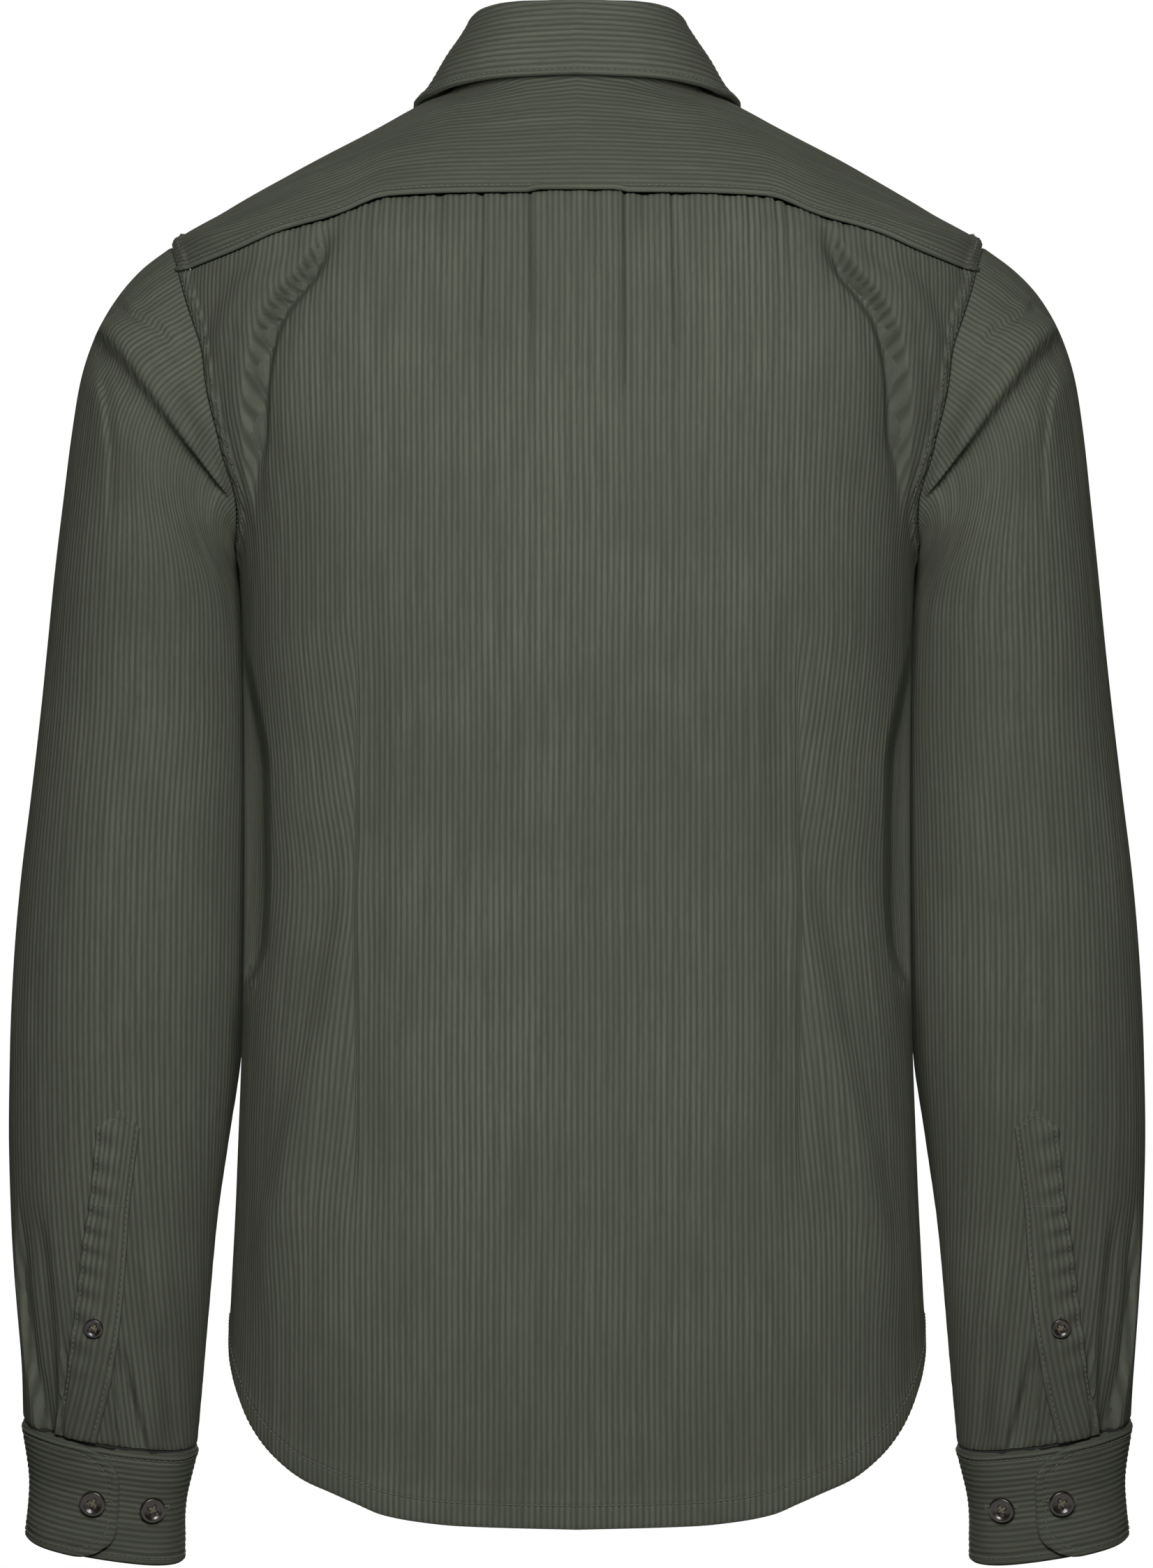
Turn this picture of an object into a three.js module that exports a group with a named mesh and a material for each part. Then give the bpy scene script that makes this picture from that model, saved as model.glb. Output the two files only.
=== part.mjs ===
// A corduroy overshirt, buttoned to the neck, in the hollow shape it has when it is worn, with no wearer in it.
// Millimetres. +Z is up, the front faces -Y and +X is the wearer's left. The origin is the middle of the neck
// opening, level with the points where the shoulders meet the neck: there the wearer's shoulders carry it.
//
// The back, yoke and fronts lie on one body, a stack of level rings. The armholes, neckline and seams are lines
// on that body, so each panel is cut along them. A sleeve is a stack of tilted sections that starts at the
// armhole. Every piece is a sheet of points with a second skin set inside it, closed round its edges.

import * as THREE from "three";

// Driving sizes
const CLOTH = 1.6; // one layer of 8-wale corduroy
const TWO_PLY = 2.6; // collar, stand and cuffs are two pressed layers
const SEAM = 0.3; // gap between pieces that are sewn together
const FRONT_LAP = 17; // how far each front passes the centre line
const FRONT_EDGE_SINK = 3.4; // the right front lies this much deeper under the left one
const CUFF_LAP = 40; // how far a cuff's buttonhole end covers its other end
const PLACKET_WIDTH = 24;
const CUFF_BUTTON = { across: 13, thick: 2.8 };
const PLACKET_BUTTON = { across: 9.5, thick: 2.2 };
const FRONT_BUTTON = { across: 12, thick: 2.6 };
const FRONT_BUTTON_COUNT = 6;
const FRONT_BUTTON_TOP = -112;
const FRONT_BUTTON_SPACING = 92;

// Colours of the dyed cord and the dark horn-like buttons
const CORD = new THREE.MeshStandardMaterial({ color: 0x50534a, roughness: 0.95, metalness: 0 });
const HORN = new THREE.MeshStandardMaterial({ color: 0x241d19, roughness: 0.35, metalness: 0 });

// The body's level rings, from the hem up: half width at the side, depth to the back and to the front, and how
// square its back and front are, where 2 is an ellipse.
const BODY = table("z side back front squareBack squareFront", [
  [-740, 181, 121, 116, 2.5, 2.4],
  [-640, 179, 119, 115, 2.55, 2.35],
  [-550, 175, 114, 112, 2.5, 2.2],
  [-465, 172.2, 108, 110, 2.45, 2.05],
  [-400, 171.6, 108, 113, 2.4, 2],
  [-350, 171.6, 112, 118, 2.4, 2],
  [-300, 172, 118, 123, 2.45, 2.05],
  [-260, 172.6, 122, 126, 2.5, 2.15],
  [-230, 174.5, 124, 126, 2.5, 2.3],
  [-205, 180, 125, 125, 2.45, 2.4],
  [-180, 190, 125, 122, 2.45, 2.4],
  [-140, 204, 124, 113, 2.4, 2.4],
  [-100, 212, 121, 97, 2.3, 2.3],
  [-74, 208, 117, 82, 2.2, 2.2],
  [-57, 183, 111, 71, 2.15, 2.15],
  [-35, 145, 98, 62, 2.1, 2.1],
  [-13, 103, 81, 49, 2.05, 2.05],
  [0, 79, 70, 34, 2, 2],
  [6, 65, 65, 21, 2, 2],
  [16, 58, 57, 8, 2, 2],
]);
const side = smooth(BODY.z, BODY.side);
const back = smooth(BODY.z, BODY.back);
const front = smooth(BODY.z, BODY.front);
const squareBack = smooth(BODY.z, BODY.squareBack);
const squareFront = smooth(BODY.z, BODY.squareFront);

// The neckline is cut where the body meets an upright oval cylinder of this size.
const NECK = { side: 65, back: 58, front: 68 };

// Each armhole is an oval seen from the side.
const ARMHOLE = { top: -74, bottom: -230, back: 62, front: 60, square: 2.2 };

// The seam between yoke and back, and between yoke and front: height against distance from the centre line.
const YOKE_BACK = table("x z", [[0, -53], [60, -53], [96, -54], [121, -63], [152, -71.5], [173, -80], [200, -89]]);
const YOKE_FRONT = table("x z", [[60, -10], [75, -18], [90, -26], [120, -41], [160, -63], [202, -97]]);
const yokeBackZ = smooth(YOKE_BACK.x, YOKE_BACK.z);
const yokeFrontZ = smooth(YOKE_FRONT.x, YOKE_FRONT.z);

// The shirt-tail hem: height against the share of the way from the centre to the side seam.
const HEM_BACK = table("share z", [
  [0, -724.5], [0.24, -723], [0.33, -721], [0.4, -718], [0.455, -713], [0.51, -708], [0.58, -702],
  [0.665, -690.5], [0.735, -678], [0.83, -658], [0.94, -640], [1, -633],
]);
const HEM_FRONT = table("share z", [[0, -712], [0.35, -710], [0.55, -699], [0.7, -680], [0.83, -656], [1, -633]]);
const hemBackZ = smooth(HEM_BACK.share, HEM_BACK.z);
const hemFrontZ = smooth(HEM_FRONT.share, HEM_FRONT.z);

// Folds of the body, each a line of points across and up, that raises (or with a minus sinks) the cloth by
// `height`, over `reach` to each side of it. `on` is 1 for the back and -1 for the front.
const BODY_FOLDS = [
  { name: "crease beside the shoulder blade", on: 1, height: -7, reach: 17,
    line: [[117, -62], [137, -92], [151, -114], [160, -140], [163, -168], [160, -205]] },
  { name: "roll between that crease and the armhole", on: 1, height: 5, reach: 17,
    line: [[140, -76], [162, -101], [176, -122], [181, -145], [181, -175], [174, -215]] },
  { name: "hollow of the flank at the waist", on: 1, height: -8, reach: 26,
    line: [[166, -285], [160, -330], [158, -370], [161, -430]] },
  { name: "soft roll from waist to hip", on: 1, height: 2.5, reach: 26,
    line: [[140, -330], [144, -400], [149, -520], [148, -610]] },
  { name: "dart line", on: 1, height: -2.4, reach: 17,
    line: [[104, -230], [107, -360], [108, -480], [108, -592]] },
  { name: "drag from armhole to chest", on: -1, height: -3.5, reach: 24,
    line: [[172, -160], [148, -205], [112, -245]] },
  { name: "roll under that drag", on: -1, height: 3, reach: 26,
    line: [[166, -222], [138, -262], [104, -300]] },
  { name: "hollow of the front flank", on: -1, height: -5, reach: 30,
    line: [[156, -300], [152, -360], [154, -430]] },
];

// The box pleat under the middle of the yoke: a flat fold that opens out further down.
const PLEAT = { half: 22.5, lip: 3.5, height: 2.6, top: -50, gone: -230 };

// A sleeve's sections from the armhole (row 0) to the cuff seam: the outer and inner ends of each, its depth to
// the back and front of its middle, where that middle lies, and how much the back of it drops for each mm.
const SLEEVE = table("row outerX outerZ innerX innerZ middleY back front lean", [
  [0, 209.5, -74, 174.5, -230, 1, 62, 60, 0],
  [1, 225, -86, 176, -232, 1, 64, 62, 0],
  [2, 238, -101, 176.5, -235, 0, 65.5, 63, 0],
  [3, 249, -121, 176.8, -238, -1, 66.5, 64, 0],
  [4, 256, -143, 176.8, -241, -3, 67, 64, 0],
  [5, 260.5, -170, 176.5, -245, -6, 67.5, 64, 0],
  [6, 265, -206, 176, -252, -10, 67.5, 63, 0],
  [7, 269.5, -242, 175, -265, -15, 66.5, 62, 0],
  [8, 273.5, -277, 173.4, -288, -20, 65, 60, 0],
  [9, 278, -316, 171.6, -320, -24, 62, 57, 0],
  [10, 283, -359, 170.6, -359, -26, 60, 55, 0],
  [11, 288, -402, 170.6, -402, -27, 57, 53, 0],
  [12, 291.6, -445, 171.4, -445, -28, 54, 51, 0.03],
  [13, 294, -489, 174.4, -490, -30, 51, 49, 0.06],
  [14, 295, -532, 181, -535, -32, 48, 46, 0.09],
  [15, 294, -575, 187.5, -580, -35, 45, 43, 0.11],
  [16, 291.5, -618, 191.7, -625, -38, 42, 40, 0.13],
  [17, 289.5, -652, 195, -662, -41, 39, 37, 0.14],
  [18, 288.3, -680, 198, -694, -44, 35, 33, 0.15],
]);
const SLEEVE_LAST = SLEEVE.row.length - 1;
const sleeveSize = Object.fromEntries(Object.keys(SLEEVE).map((name) => [name, smooth(SLEEVE.row, SLEEVE[name])]));
const SLEEVE_SQUARE = 2.15;
const ARMHOLE_BLEND_ROWS = 4; // over this many sections the armhole's own curve turns into a plain oval

// The cuff continues from the last section down to this one.
const CUFF_TOP = { outerX: 289, outerZ: -681.8, innerX: 197.6, innerZ: -695.8, middleY: -44.1, back: 35.6, front: 33.6, lean: 0.15 };
const CUFF_BOTTOM = { outerX: 287.5, outerZ: -743, innerX: 205, innerZ: -755, middleY: -52, back: 32, front: 30.5, lean: 0.15 };
const CUFF_WAIST = 2.5; // the cuff stands in a little just above its middle
const CUFF_END = 1.73; // angle of the buttonhole end, a little past the middle of the back
const CUFF_PER_MM = (2 * Math.PI) / 250; // turn for a mm round the cuff
const CUFF_STEPS = 27;

// Folds of a sleeve, as lines across and up seen from the back (on 1) or from the front (on -1).
const SLEEVE_FOLDS = [
  { name: "cap roll that hangs over the arm", on: 1, height: 5.5, reach: 19,
    line: [[242, -108], [228, -126], [213, -146], [200, -166], [187, -186]] },
  { name: "crease under the cap roll", on: 1, height: -6.5, reach: 15,
    line: [[250, -124], [236, -143], [222, -163], [208, -183], [195, -203], [184, -218]] },
  { name: "front cap roll", on: -1, height: 4.5, reach: 19,
    line: [[238, -114], [218, -140], [198, -168]] },
  { name: "crease under the front cap roll", on: -1, height: -5, reach: 16,
    line: [[246, -130], [227, -157], [207, -185], [190, -208]] },
  { name: "inner elbow hollow", on: -1, height: -4.5, reach: 22,
    line: [[186, -395], [220, -402], [260, -398]] },
  { name: "upper elbow roll", on: -1, height: 3, reach: 22,
    line: [[186, -362], [220, -368], [260, -360]] },
  { name: "lower elbow roll", on: -1, height: 3, reach: 22,
    line: [[190, -436], [224, -442], [264, -434]] },
  { name: "first cuff pleat", on: 1, height: -3.6, reach: 9,
    line: [[281, -560], [276, -620], [273, -672], [272, -700]] },
  { name: "gather beside the placket", on: 1, height: -2.6, reach: 9,
    line: [[238, -640], [231, -670], [226, -700]] },
  { name: "gather towards the inside", on: 1, height: -2.2, reach: 9,
    line: [[216, -630], [210, -665], [207, -700]] },
];

// The collar's roll line and its lower edge, by the angle round the neck from the centre back.
const ROLL = table("angle x y z", [
  [0, 0, 58, 46], [30, 29, 52, 45.5], [60, 49, 34, 43], [85, 56.5, 8, 35], [110, 54, -22, 17],
  [135, 41, -48, -2], [155, 23, -65, -17], [172, 7, -72.5, -27],
]);
const LEAF_EDGE = table("angle x y z", [
  [0, 0, 70, 10], [30, 37, 63, 9], [60, 65, 43, 6], [80, 77, 20, 2], [95, 81, -6, -4], [110, 83, -32, -14],
  [130, 78, -62, -37], [150, 65, -84, -64], [172, 48, -95, -86],
]);
const COLLAR_END = 172; // degrees round to each front edge of the leaf
const LEAF_CLEAR = 0.6; // the leaf stays this far off the body
const ROLL_RISE = 3; // how far the roll rises over the seam with the stand

// A table's columns by name
function table(names, rows) {
  return Object.fromEntries(names.split(" ").map((name, c) => [name, rows.map((row) => row[c])]));
}

// A smooth curve through points whose xs rise, with no overshoot between them
function smooth(xs, ys) {
  const last = xs.length - 1;
  const rise = ys.slice(1).map((y, i) => (y - ys[i]) / (xs[i + 1] - xs[i]));
  const slope = ys.map((_, i) => {
    if (i === 0) return rise[0];
    if (i === last) return rise[last - 1];
    return rise[i - 1] * rise[i] <= 0 ? 0 : (2 * rise[i - 1] * rise[i]) / (rise[i - 1] + rise[i]);
  });
  return (x) => {
    if (x <= xs[0]) return ys[0];
    if (x >= xs[last]) return ys[last];
    let i = 0;
    while (x > xs[i + 1]) i++;
    const h = xs[i + 1] - xs[i];
    const t = (x - xs[i]) / h;
    const u = 1 - t;
    return u * u * (1 + 2 * t) * ys[i] + t * t * (3 - 2 * t) * ys[i + 1] + h * t * u * (u * slope[i] - t * slope[i + 1]);
  };
}

function clamp01(v) {
  return Math.min(1, Math.max(0, v));
}

// 0 up to `from`, 1 past `to`, and smooth between
function ease(v, from, to) {
  const t = clamp01((v - from) / (to - from));
  return t * t * (3 - 2 * t);
}

function power(v, exponent) {
  return Math.sign(v) * Math.abs(v) ** exponent;
}

// Evenly spaced values from a to b, both included
function spaced(a, b, steps) {
  return Array.from({ length: steps + 1 }, (_, i) => a + ((b - a) * i) / steps);
}

// Half a level ring of the body, from the centre back round to the centre front
const HALF_RING_STEPS = 120;
const keptRings = new Map();
function ring(z) {
  const key = Math.round(z * 50);
  if (keptRings.has(key)) return keptRings.get(key);
  const points = spaced(0, Math.PI, HALF_RING_STEPS).map((angle) => {
    const c = Math.cos(angle);
    const exponent = 2 / (c > 0 ? squareBack(z) : squareFront(z));
    return [side(z) * power(Math.sin(angle), exponent), (c > 0 ? back(z) : front(z)) * power(c, exponent)];
  });
  const along = [0];
  for (let i = 1; i < points.length; i++) {
    along.push(along[i - 1] + Math.hypot(points[i][0] - points[i - 1][0], points[i][1] - points[i - 1][1]));
  }
  const made = { points, along, half: along[HALF_RING_STEPS] };
  keptRings.set(key, made);
  return made;
}

// The point at a distance along a ring from the centre back, towards +X if it is positive
function onRing(z, distance) {
  const { points, along } = ring(z);
  const s = Math.abs(distance);
  let i = 0;
  while (i < points.length - 2 && s > along[i + 1]) i++;
  const t = (s - along[i]) / (along[i + 1] - along[i]);
  const [a, b] = [points[i], points[i + 1]];
  return new THREE.Vector3(Math.sign(distance) * (a[0] + t * (b[0] - a[0])), a[1] + t * (b[1] - a[1]), z);
}

// The distance along a ring at which its depth falls to y
function whereDepth(z, y) {
  const { points, along } = ring(z);
  let i = 0;
  while (i < points.length - 2 && points[i + 1][1] > y) i++;
  const t = (points[i][1] - y) / (points[i][1] - points[i + 1][1]);
  return along[i] + t * (along[i + 1] - along[i]);
}

// The body's half width at a depth and height
function halfWidthAt(y, z) {
  const n = y > 0 ? squareBack(z) : squareFront(z);
  return side(z) * Math.max(0, 1 - (Math.abs(y) / (y > 0 ? back(z) : front(z))) ** n) ** (1 / n);
}

// 1 on the body, less inside it and more outside
function bodyLevel(x, y, z) {
  const n = y > 0 ? squareBack(z) : squareFront(z);
  return (Math.abs(x) / side(z)) ** n + (Math.abs(y) / (y > 0 ? back(z) : front(z))) ** n;
}

function bodyNormal(p) {
  const d = 0.5;
  return new THREE.Vector3(
    bodyLevel(p.x + d, p.y, p.z) - bodyLevel(p.x - d, p.y, p.z),
    bodyLevel(p.x, p.y + d, p.z) - bodyLevel(p.x, p.y - d, p.z),
    bodyLevel(p.x, p.y, p.z + d) - bodyLevel(p.x, p.y, p.z - d),
  ).normalize();
}

// The height of the body's upper side over a point of the plan
function bodyHeight(x, y) {
  let low = -110;
  let high = 16;
  for (let i = 0; i < 40; i++) {
    const middle = (low + high) / 2;
    if (bodyLevel(x, y, middle) < 1) low = middle;
    else high = middle;
  }
  return (low + high) / 2;
}

// How much a table of folds raises the cloth at a place
function foldHeight(folds, x, z, on) {
  let height = 0;
  for (const fold of folds) {
    if (fold.on !== on) continue;
    const { off, along } = beside(fold.line, x, z);
    if (off >= fold.reach) continue;
    const ends = ease(along, 0, 0.2) * ease(1 - along, 0, 0.2);
    height += fold.height * ends * Math.cos((Math.PI / 2) * (off / fold.reach)) ** 2;
  }
  return height;
}

// How far a place lies from a line of points, and how far along that line, from 0 to 1
function beside(line, x, z) {
  let best = { off: Infinity, along: 0 };
  for (let i = 0; i + 1 < line.length; i++) {
    const [ax, az] = line[i];
    const [dx, dz] = [line[i + 1][0] - ax, line[i + 1][1] - az];
    const t = clamp01(((x - ax) * dx + (z - az) * dz) / (dx * dx + dz * dz));
    const off = Math.hypot(x - ax - t * dx, z - az - t * dz);
    if (off < best.off) best = { off, along: (i + t) / (line.length - 1) };
  }
  return best;
}

function pleatHeight(x, z) {
  const open = 1 - ease(-z, -PLEAT.top + 30, -PLEAT.gone);
  return PLEAT.height * open * (1 - ease(Math.abs(x), PLEAT.half - PLEAT.lip / 2, PLEAT.half + PLEAT.lip / 2));
}

// A point of the body with its folds, and the direction out of the cloth there
function dressed(p, extra = 0) {
  const out = bodyNormal(p);
  const on = p.y > 0 ? 1 : -1;
  const nearSide = ease(Math.abs(p.y), 0, 18); // folds fade at the side seam, where back and front meet
  let height = extra + foldHeight(BODY_FOLDS, Math.abs(p.x), p.z, on) * nearSide;
  if (on > 0 && p.z < PLEAT.top) height += pleatHeight(p.x, p.z);
  return { at: p.clone().addScaledVector(out, height), out };
}

// Says for each cell of a grid which way its two triangles are split: the way whose two ends face more alike,
// so that an edge runs along a fold and not over it.
function split(cells) {
  const faced = facing(cells.map((row) => row.map((cell) => cell.at)));
  for (let j = 0; j + 1 < cells.length; j++) {
    for (let i = 0; i + 1 < cells[j].length; i++) {
      const rising = faced[j][i].out.dot(faced[j + 1][i + 1].out);
      const falling = faced[j][i + 1].out.dot(faced[j + 1][i].out);
      cells[j][i].rising = rising > falling;
    }
  }
  return cells;
}

// Closes a grid of dressed points into a wall. cells[j][i] is row j, column i, with rows running up and columns
// running so that `out` points out of the cloth by the right-hand rule from columns to rows.
function wall(cells, thickness, mirror = false) {
  if (cells[0][0].rising === undefined) split(cells);
  const outer = [];
  const inner = [];
  const place = new Map();
  const index = cells.map((row) => row.map(({ at, out, thick }) => {
    const key = [at.x, at.y, at.z].map((v) => v.toFixed(3)).join();
    if (!place.has(key)) {
      place.set(key, outer.length);
      outer.push(at);
      inner.push(at.clone().addScaledVector(out, -(thick ?? thickness)));
    }
    return place.get(key);
  }));
  const faces = [];
  for (let j = 0; j + 1 < index.length; j++) {
    for (let i = 0; i + 1 < index[j].length; i++) {
      const [a, b, c, d] = [index[j][i], index[j][i + 1], index[j + 1][i + 1], index[j + 1][i]];
      const halves = cells[j][i].rising ? [[a, b, c], [a, c, d]] : [[a, b, d], [b, c, d]];
      halves.filter(([p, q, r]) => p !== q && q !== r && r !== p).forEach((face) => faces.push(face));
    }
  }
  const edges = new Map();
  faces.forEach(([a, b, c]) => [[a, b], [b, c], [c, a]].forEach(([p, q]) => edges.set(p + "," + q, [p, q])));
  const n = outer.length;
  const all = [...faces, ...faces.map(([a, b, c]) => [n + a, n + c, n + b])];
  edges.forEach(([p, q]) => {
    if (!edges.has(q + "," + p)) all.push([p, n + p, n + q], [p, n + q, q]);
  });
  const flip = mirror ? -1 : 1;
  const geometry = new THREE.BufferGeometry();
  geometry.setAttribute("position", new THREE.Float32BufferAttribute(
    [...outer, ...inner].flatMap((p) => [flip * p.x, p.y, p.z]), 3));
  geometry.setIndex(all.flatMap(([a, b, c]) => (mirror ? [a, c, b] : [a, b, c])));
  geometry.computeVertexNormals();
  return geometry;
}

// Gives a grid of plain points their directions out of the cloth, from their neighbours
function facing(points) {
  const at = (j, i) => points[Math.min(Math.max(j, 0), points.length - 1)][Math.min(Math.max(i, 0), points[0].length - 1)];
  const closed = points[0][0].distanceTo(points[0][points[0].length - 1]) < 0.01;
  const round = (i) => (closed ? (i + points[0].length - 1) % (points[0].length - 1) : i);
  return points.map((row, j) => row.map((p, i) => {
    const across = at(j, round(i + 1)).clone().sub(at(j, round(i - 1)));
    const up = at(j + 1, i).clone().sub(at(j - 1, i));
    return { at: p, out: across.cross(up).normalize() };
  }));
}

// How deep the armhole lies to the back or front at a height, which is nothing below it
function armholeDepth(z, on) {
  const share = Math.abs((2 * z - ARMHOLE.top - ARMHOLE.bottom) / (ARMHOLE.top - ARMHOLE.bottom));
  return (on > 0 ? ARMHOLE.back : ARMHOLE.front) * Math.max(0, 1 - share ** ARMHOLE.square) ** (1 / ARMHOLE.square);
}

// Where a panel's side edge runs at a height: down the armhole, then down the side seam
function sideEdge(z, on) {
  return whereDepth(z, on * armholeDepth(z, on)) - (on * SEAM) / 2;
}

// A distance along a ring for a share of the way to the side seam. The inner half of a panel keeps its place
// beside the armhole, and the outer half is drawn in to it.
function inPanel(z, share, on) {
  const half = on > 0 ? 0 : ring(z).half;
  const full = Math.abs(whereDepth(z, 0) - half);
  const edge = Math.abs(sideEdge(z, on) - half);
  const kept = full / 2;
  const reach = Math.abs(share) * full;
  const s = reach <= kept ? reach : kept + ((reach - kept) * (edge - kept)) / (full - kept);
  return Math.sign(share) * s;
}

// The neckline's point at an angle round from the centre back
function neckline(angle) {
  const x = NECK.side * Math.sin(angle);
  const c = Math.cos(angle);
  const y = (c > 0 ? NECK.back : NECK.front) * c;
  return new THREE.Vector3(x, y, bodyHeight(x, y));
}

// Heights of the rows of back and front, as shares from hem to top
const HEM_ROW = 0.022;
const PANEL_ROWS = [0, HEM_ROW, ...spaced(0.08, 0.68, 9), ...spaced(0.725, 1, 13)];

// Turned cloth makes the wall twice as thick along a hem
function hemThickness(share) {
  return share <= HEM_ROW ? CLOTH * 1.7 : CLOTH;
}

// Shares of the back's half width, with some on the pleat's lips
const BACK_COLUMNS = [0, 0.04, 0.076, 0.093, 0.13, 0.18, 0.24, 0.31, 0.38, 0.45, 0.52, 0.58, 0.64, 0.7, 0.76, 0.82, 0.88, 0.94, 1];
const YOKE_NECK_COLUMNS = 7; // this many of them end at the neckline

// The point where a column of the back meets the yoke
function backSeam(share) {
  let z = -60;
  for (let i = 0; i < 40; i++) z = 0.4 * z + 0.6 * yokeBackZ(Math.abs(onRing(z, inPanel(z, share, 1)).x));
  return onRing(z, inPanel(z, share, 1));
}

function backPanel() {
  const shares = [...BACK_COLUMNS.slice(1).reverse(), ...BACK_COLUMNS.map((share) => -share)];
  const tops = shares.map((share) => backSeam(share).z - SEAM);
  return PANEL_ROWS.map((t) => shares.map((share, i) => {
    const z = hemBackZ(Math.abs(share)) * (1 - t) + tops[i] * t;
    return { ...dressed(onRing(z, inPanel(z, share, 1))), thick: hemThickness(t) };
  }));
}

// The seam between yoke and front meets the neckline at this angle
const YOKE_CORNER = cornerAngle();
function cornerAngle() {
  let low = Math.PI / 2;
  let high = Math.PI;
  for (let i = 0; i < 40; i++) {
    const middle = (low + high) / 2;
    const p = neckline(middle);
    if (p.z > yokeFrontZ(p.x)) low = middle;
    else high = middle;
  }
  return low;
}

// A point of the body at a distance from the centre line and a height, on its front
function onFront(x, z) {
  const n = squareFront(z);
  const y = -front(z) * Math.max(0, 1 - (Math.abs(x) / side(z)) ** n) ** (1 / n);
  return new THREE.Vector3(x, y, z);
}

// The half width at which that seam meets the armhole
const YOKE_FRONT_END = frontSeamEnd();
function frontSeamEnd() {
  let z = -90;
  for (let i = 0; i < 40; i++) z = 0.4 * z + 0.6 * yokeFrontZ(onRing(z, sideEdge(z, -1)).x);
  return onRing(z, sideEdge(z, -1)).x;
}

// The point on the body's front yoke seam, from the neckline (0) to the armhole (1)
function onYokeFront(share) {
  const start = neckline(YOKE_CORNER).x;
  const x = start + (YOKE_FRONT_END - start) * share;
  return onFront(x, yokeFrontZ(x));
}

// Columns of a front: under the neckline by the angle between the centre front and the yoke's corner, then
// under the yoke by the share of the way to the armhole
const NECK_COLUMNS = [0, 0.28, 0.52, 0.76, 1];
const SEAM_COLUMNS = BACK_COLUMNS.slice(YOKE_NECK_COLUMNS).map((share, i, all) => (share - all[0]) / (1 - all[0]));
const LAP_ANGLE = Math.asin(FRONT_LAP / NECK.side);
const FRONT_NECK_ANGLES = [Math.PI + LAP_ANGLE, ...NECK_COLUMNS.map((t) => Math.PI + (YOKE_CORNER - Math.PI) * t)];

// The distance from the centre front along a ring to a half width
function acrossFront(z, x) {
  const { points, along, half } = ring(z);
  let i = points.length - 1;
  while (i > 1 && points[i - 1][0] < x) i--;
  const t = (x - points[i][0]) / (points[i - 1][0] - points[i][0]);
  return half - along[i] + t * (along[i] - along[i - 1]);
}

// The left front laps over the right one. `hand` is 1 for the wearer's left.
function frontPanel(hand) {
  const tops = [...FRONT_NECK_ANGLES.map(neckline), ...SEAM_COLUMNS.slice(1).map(onYokeFront)];
  const rows = PANEL_ROWS.map((t) => tops.map((top, i) => {
    const topZ = top.z - SEAM;
    const topReach = i === 0 ? -FRONT_LAP : acrossFront(topZ, Math.min(top.x, side(topZ) * 0.9999));
    const topFull = Math.abs(ring(topZ).half - sideEdge(topZ, -1));
    const last = i === tops.length - 1;
    const share = last ? 1 : Math.max(0, topReach / topFull);
    const z = hemFrontZ(share) * (1 - t) + topZ * t;
    const reach = i === 0 ? -FRONT_LAP : inPanel(z, share, -1) * (1 - t ** 3) + (last ? inPanel(z, 1, -1) : topReach) * t ** 3;
    const p = onRing(z, (ring(z).half - Math.abs(reach)) * (reach < 0 ? -hand : hand));
    const sink = hand < 0 ? -FRONT_EDGE_SINK * (1 - ease(reach, 22, 48)) : 0;
    return { ...dressed(p, sink), thick: hemThickness(t) };
  }));
  return hand > 0 ? rows : rows.map((row) => row.reverse());
}

// The point where the armhole's edge crosses a depth, on its upper half
function armholeOver(y) {
  const deep = Math.abs(y) / (y > 0 ? ARMHOLE.back : ARMHOLE.front);
  const half = (ARMHOLE.top - ARMHOLE.bottom) / 2;
  const z = ARMHOLE.bottom + half + half * Math.max(0, 1 - deep ** ARMHOLE.square) ** (1 / ARMHOLE.square);
  return halfWidthAt(y, z);
}

// The yoke runs from the back seam over the shoulders to the front seams, and round the back of the neck. Its
// ends follow the armholes.
const YOKE_ROWS = [0, 0.14, 0.3, 0.46, 0.62, 0.8, 1];

function yoke() {
  const half = BACK_COLUMNS.map((share, i) => {
    const low = backSeam(share);
    const under = i - YOKE_NECK_COLUMNS;
    const high = under >= 0 ? onYokeFront(SEAM_COLUMNS[under]) : neckline((YOKE_CORNER * i) / YOKE_NECK_COLUMNS);
    const end = Math.max(0, under / (SEAM_COLUMNS.length - 1));
    return { low, high, end };
  });
  const columns = [...half.slice(1).reverse().map((c) => ({ ...c, hand: 1 })), ...half.map((c) => ({ ...c, hand: -1 }))];
  const tip = half.at(-1);
  return YOKE_ROWS.map((t) => {
    const tipY = tip.low.y + (tip.high.y - tip.low.y) * t;
    const bulge = armholeOver(tipY) - tip.low.x - (tip.high.x - tip.low.x) * t;
    return columns.map(({ low, high, end, hand }) => {
      const length = Math.hypot(high.x - low.x, high.y - low.y);
      const share = SEAM / 2 / length + t * (1 - SEAM / length);
      const y = low.y + (high.y - low.y) * share;
      const x = low.x + (high.x - low.x) * share + bulge * end ** 4;
      return dressed(new THREE.Vector3(hand * x, y, bodyHeight(x, y)));
    });
  });
}

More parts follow.
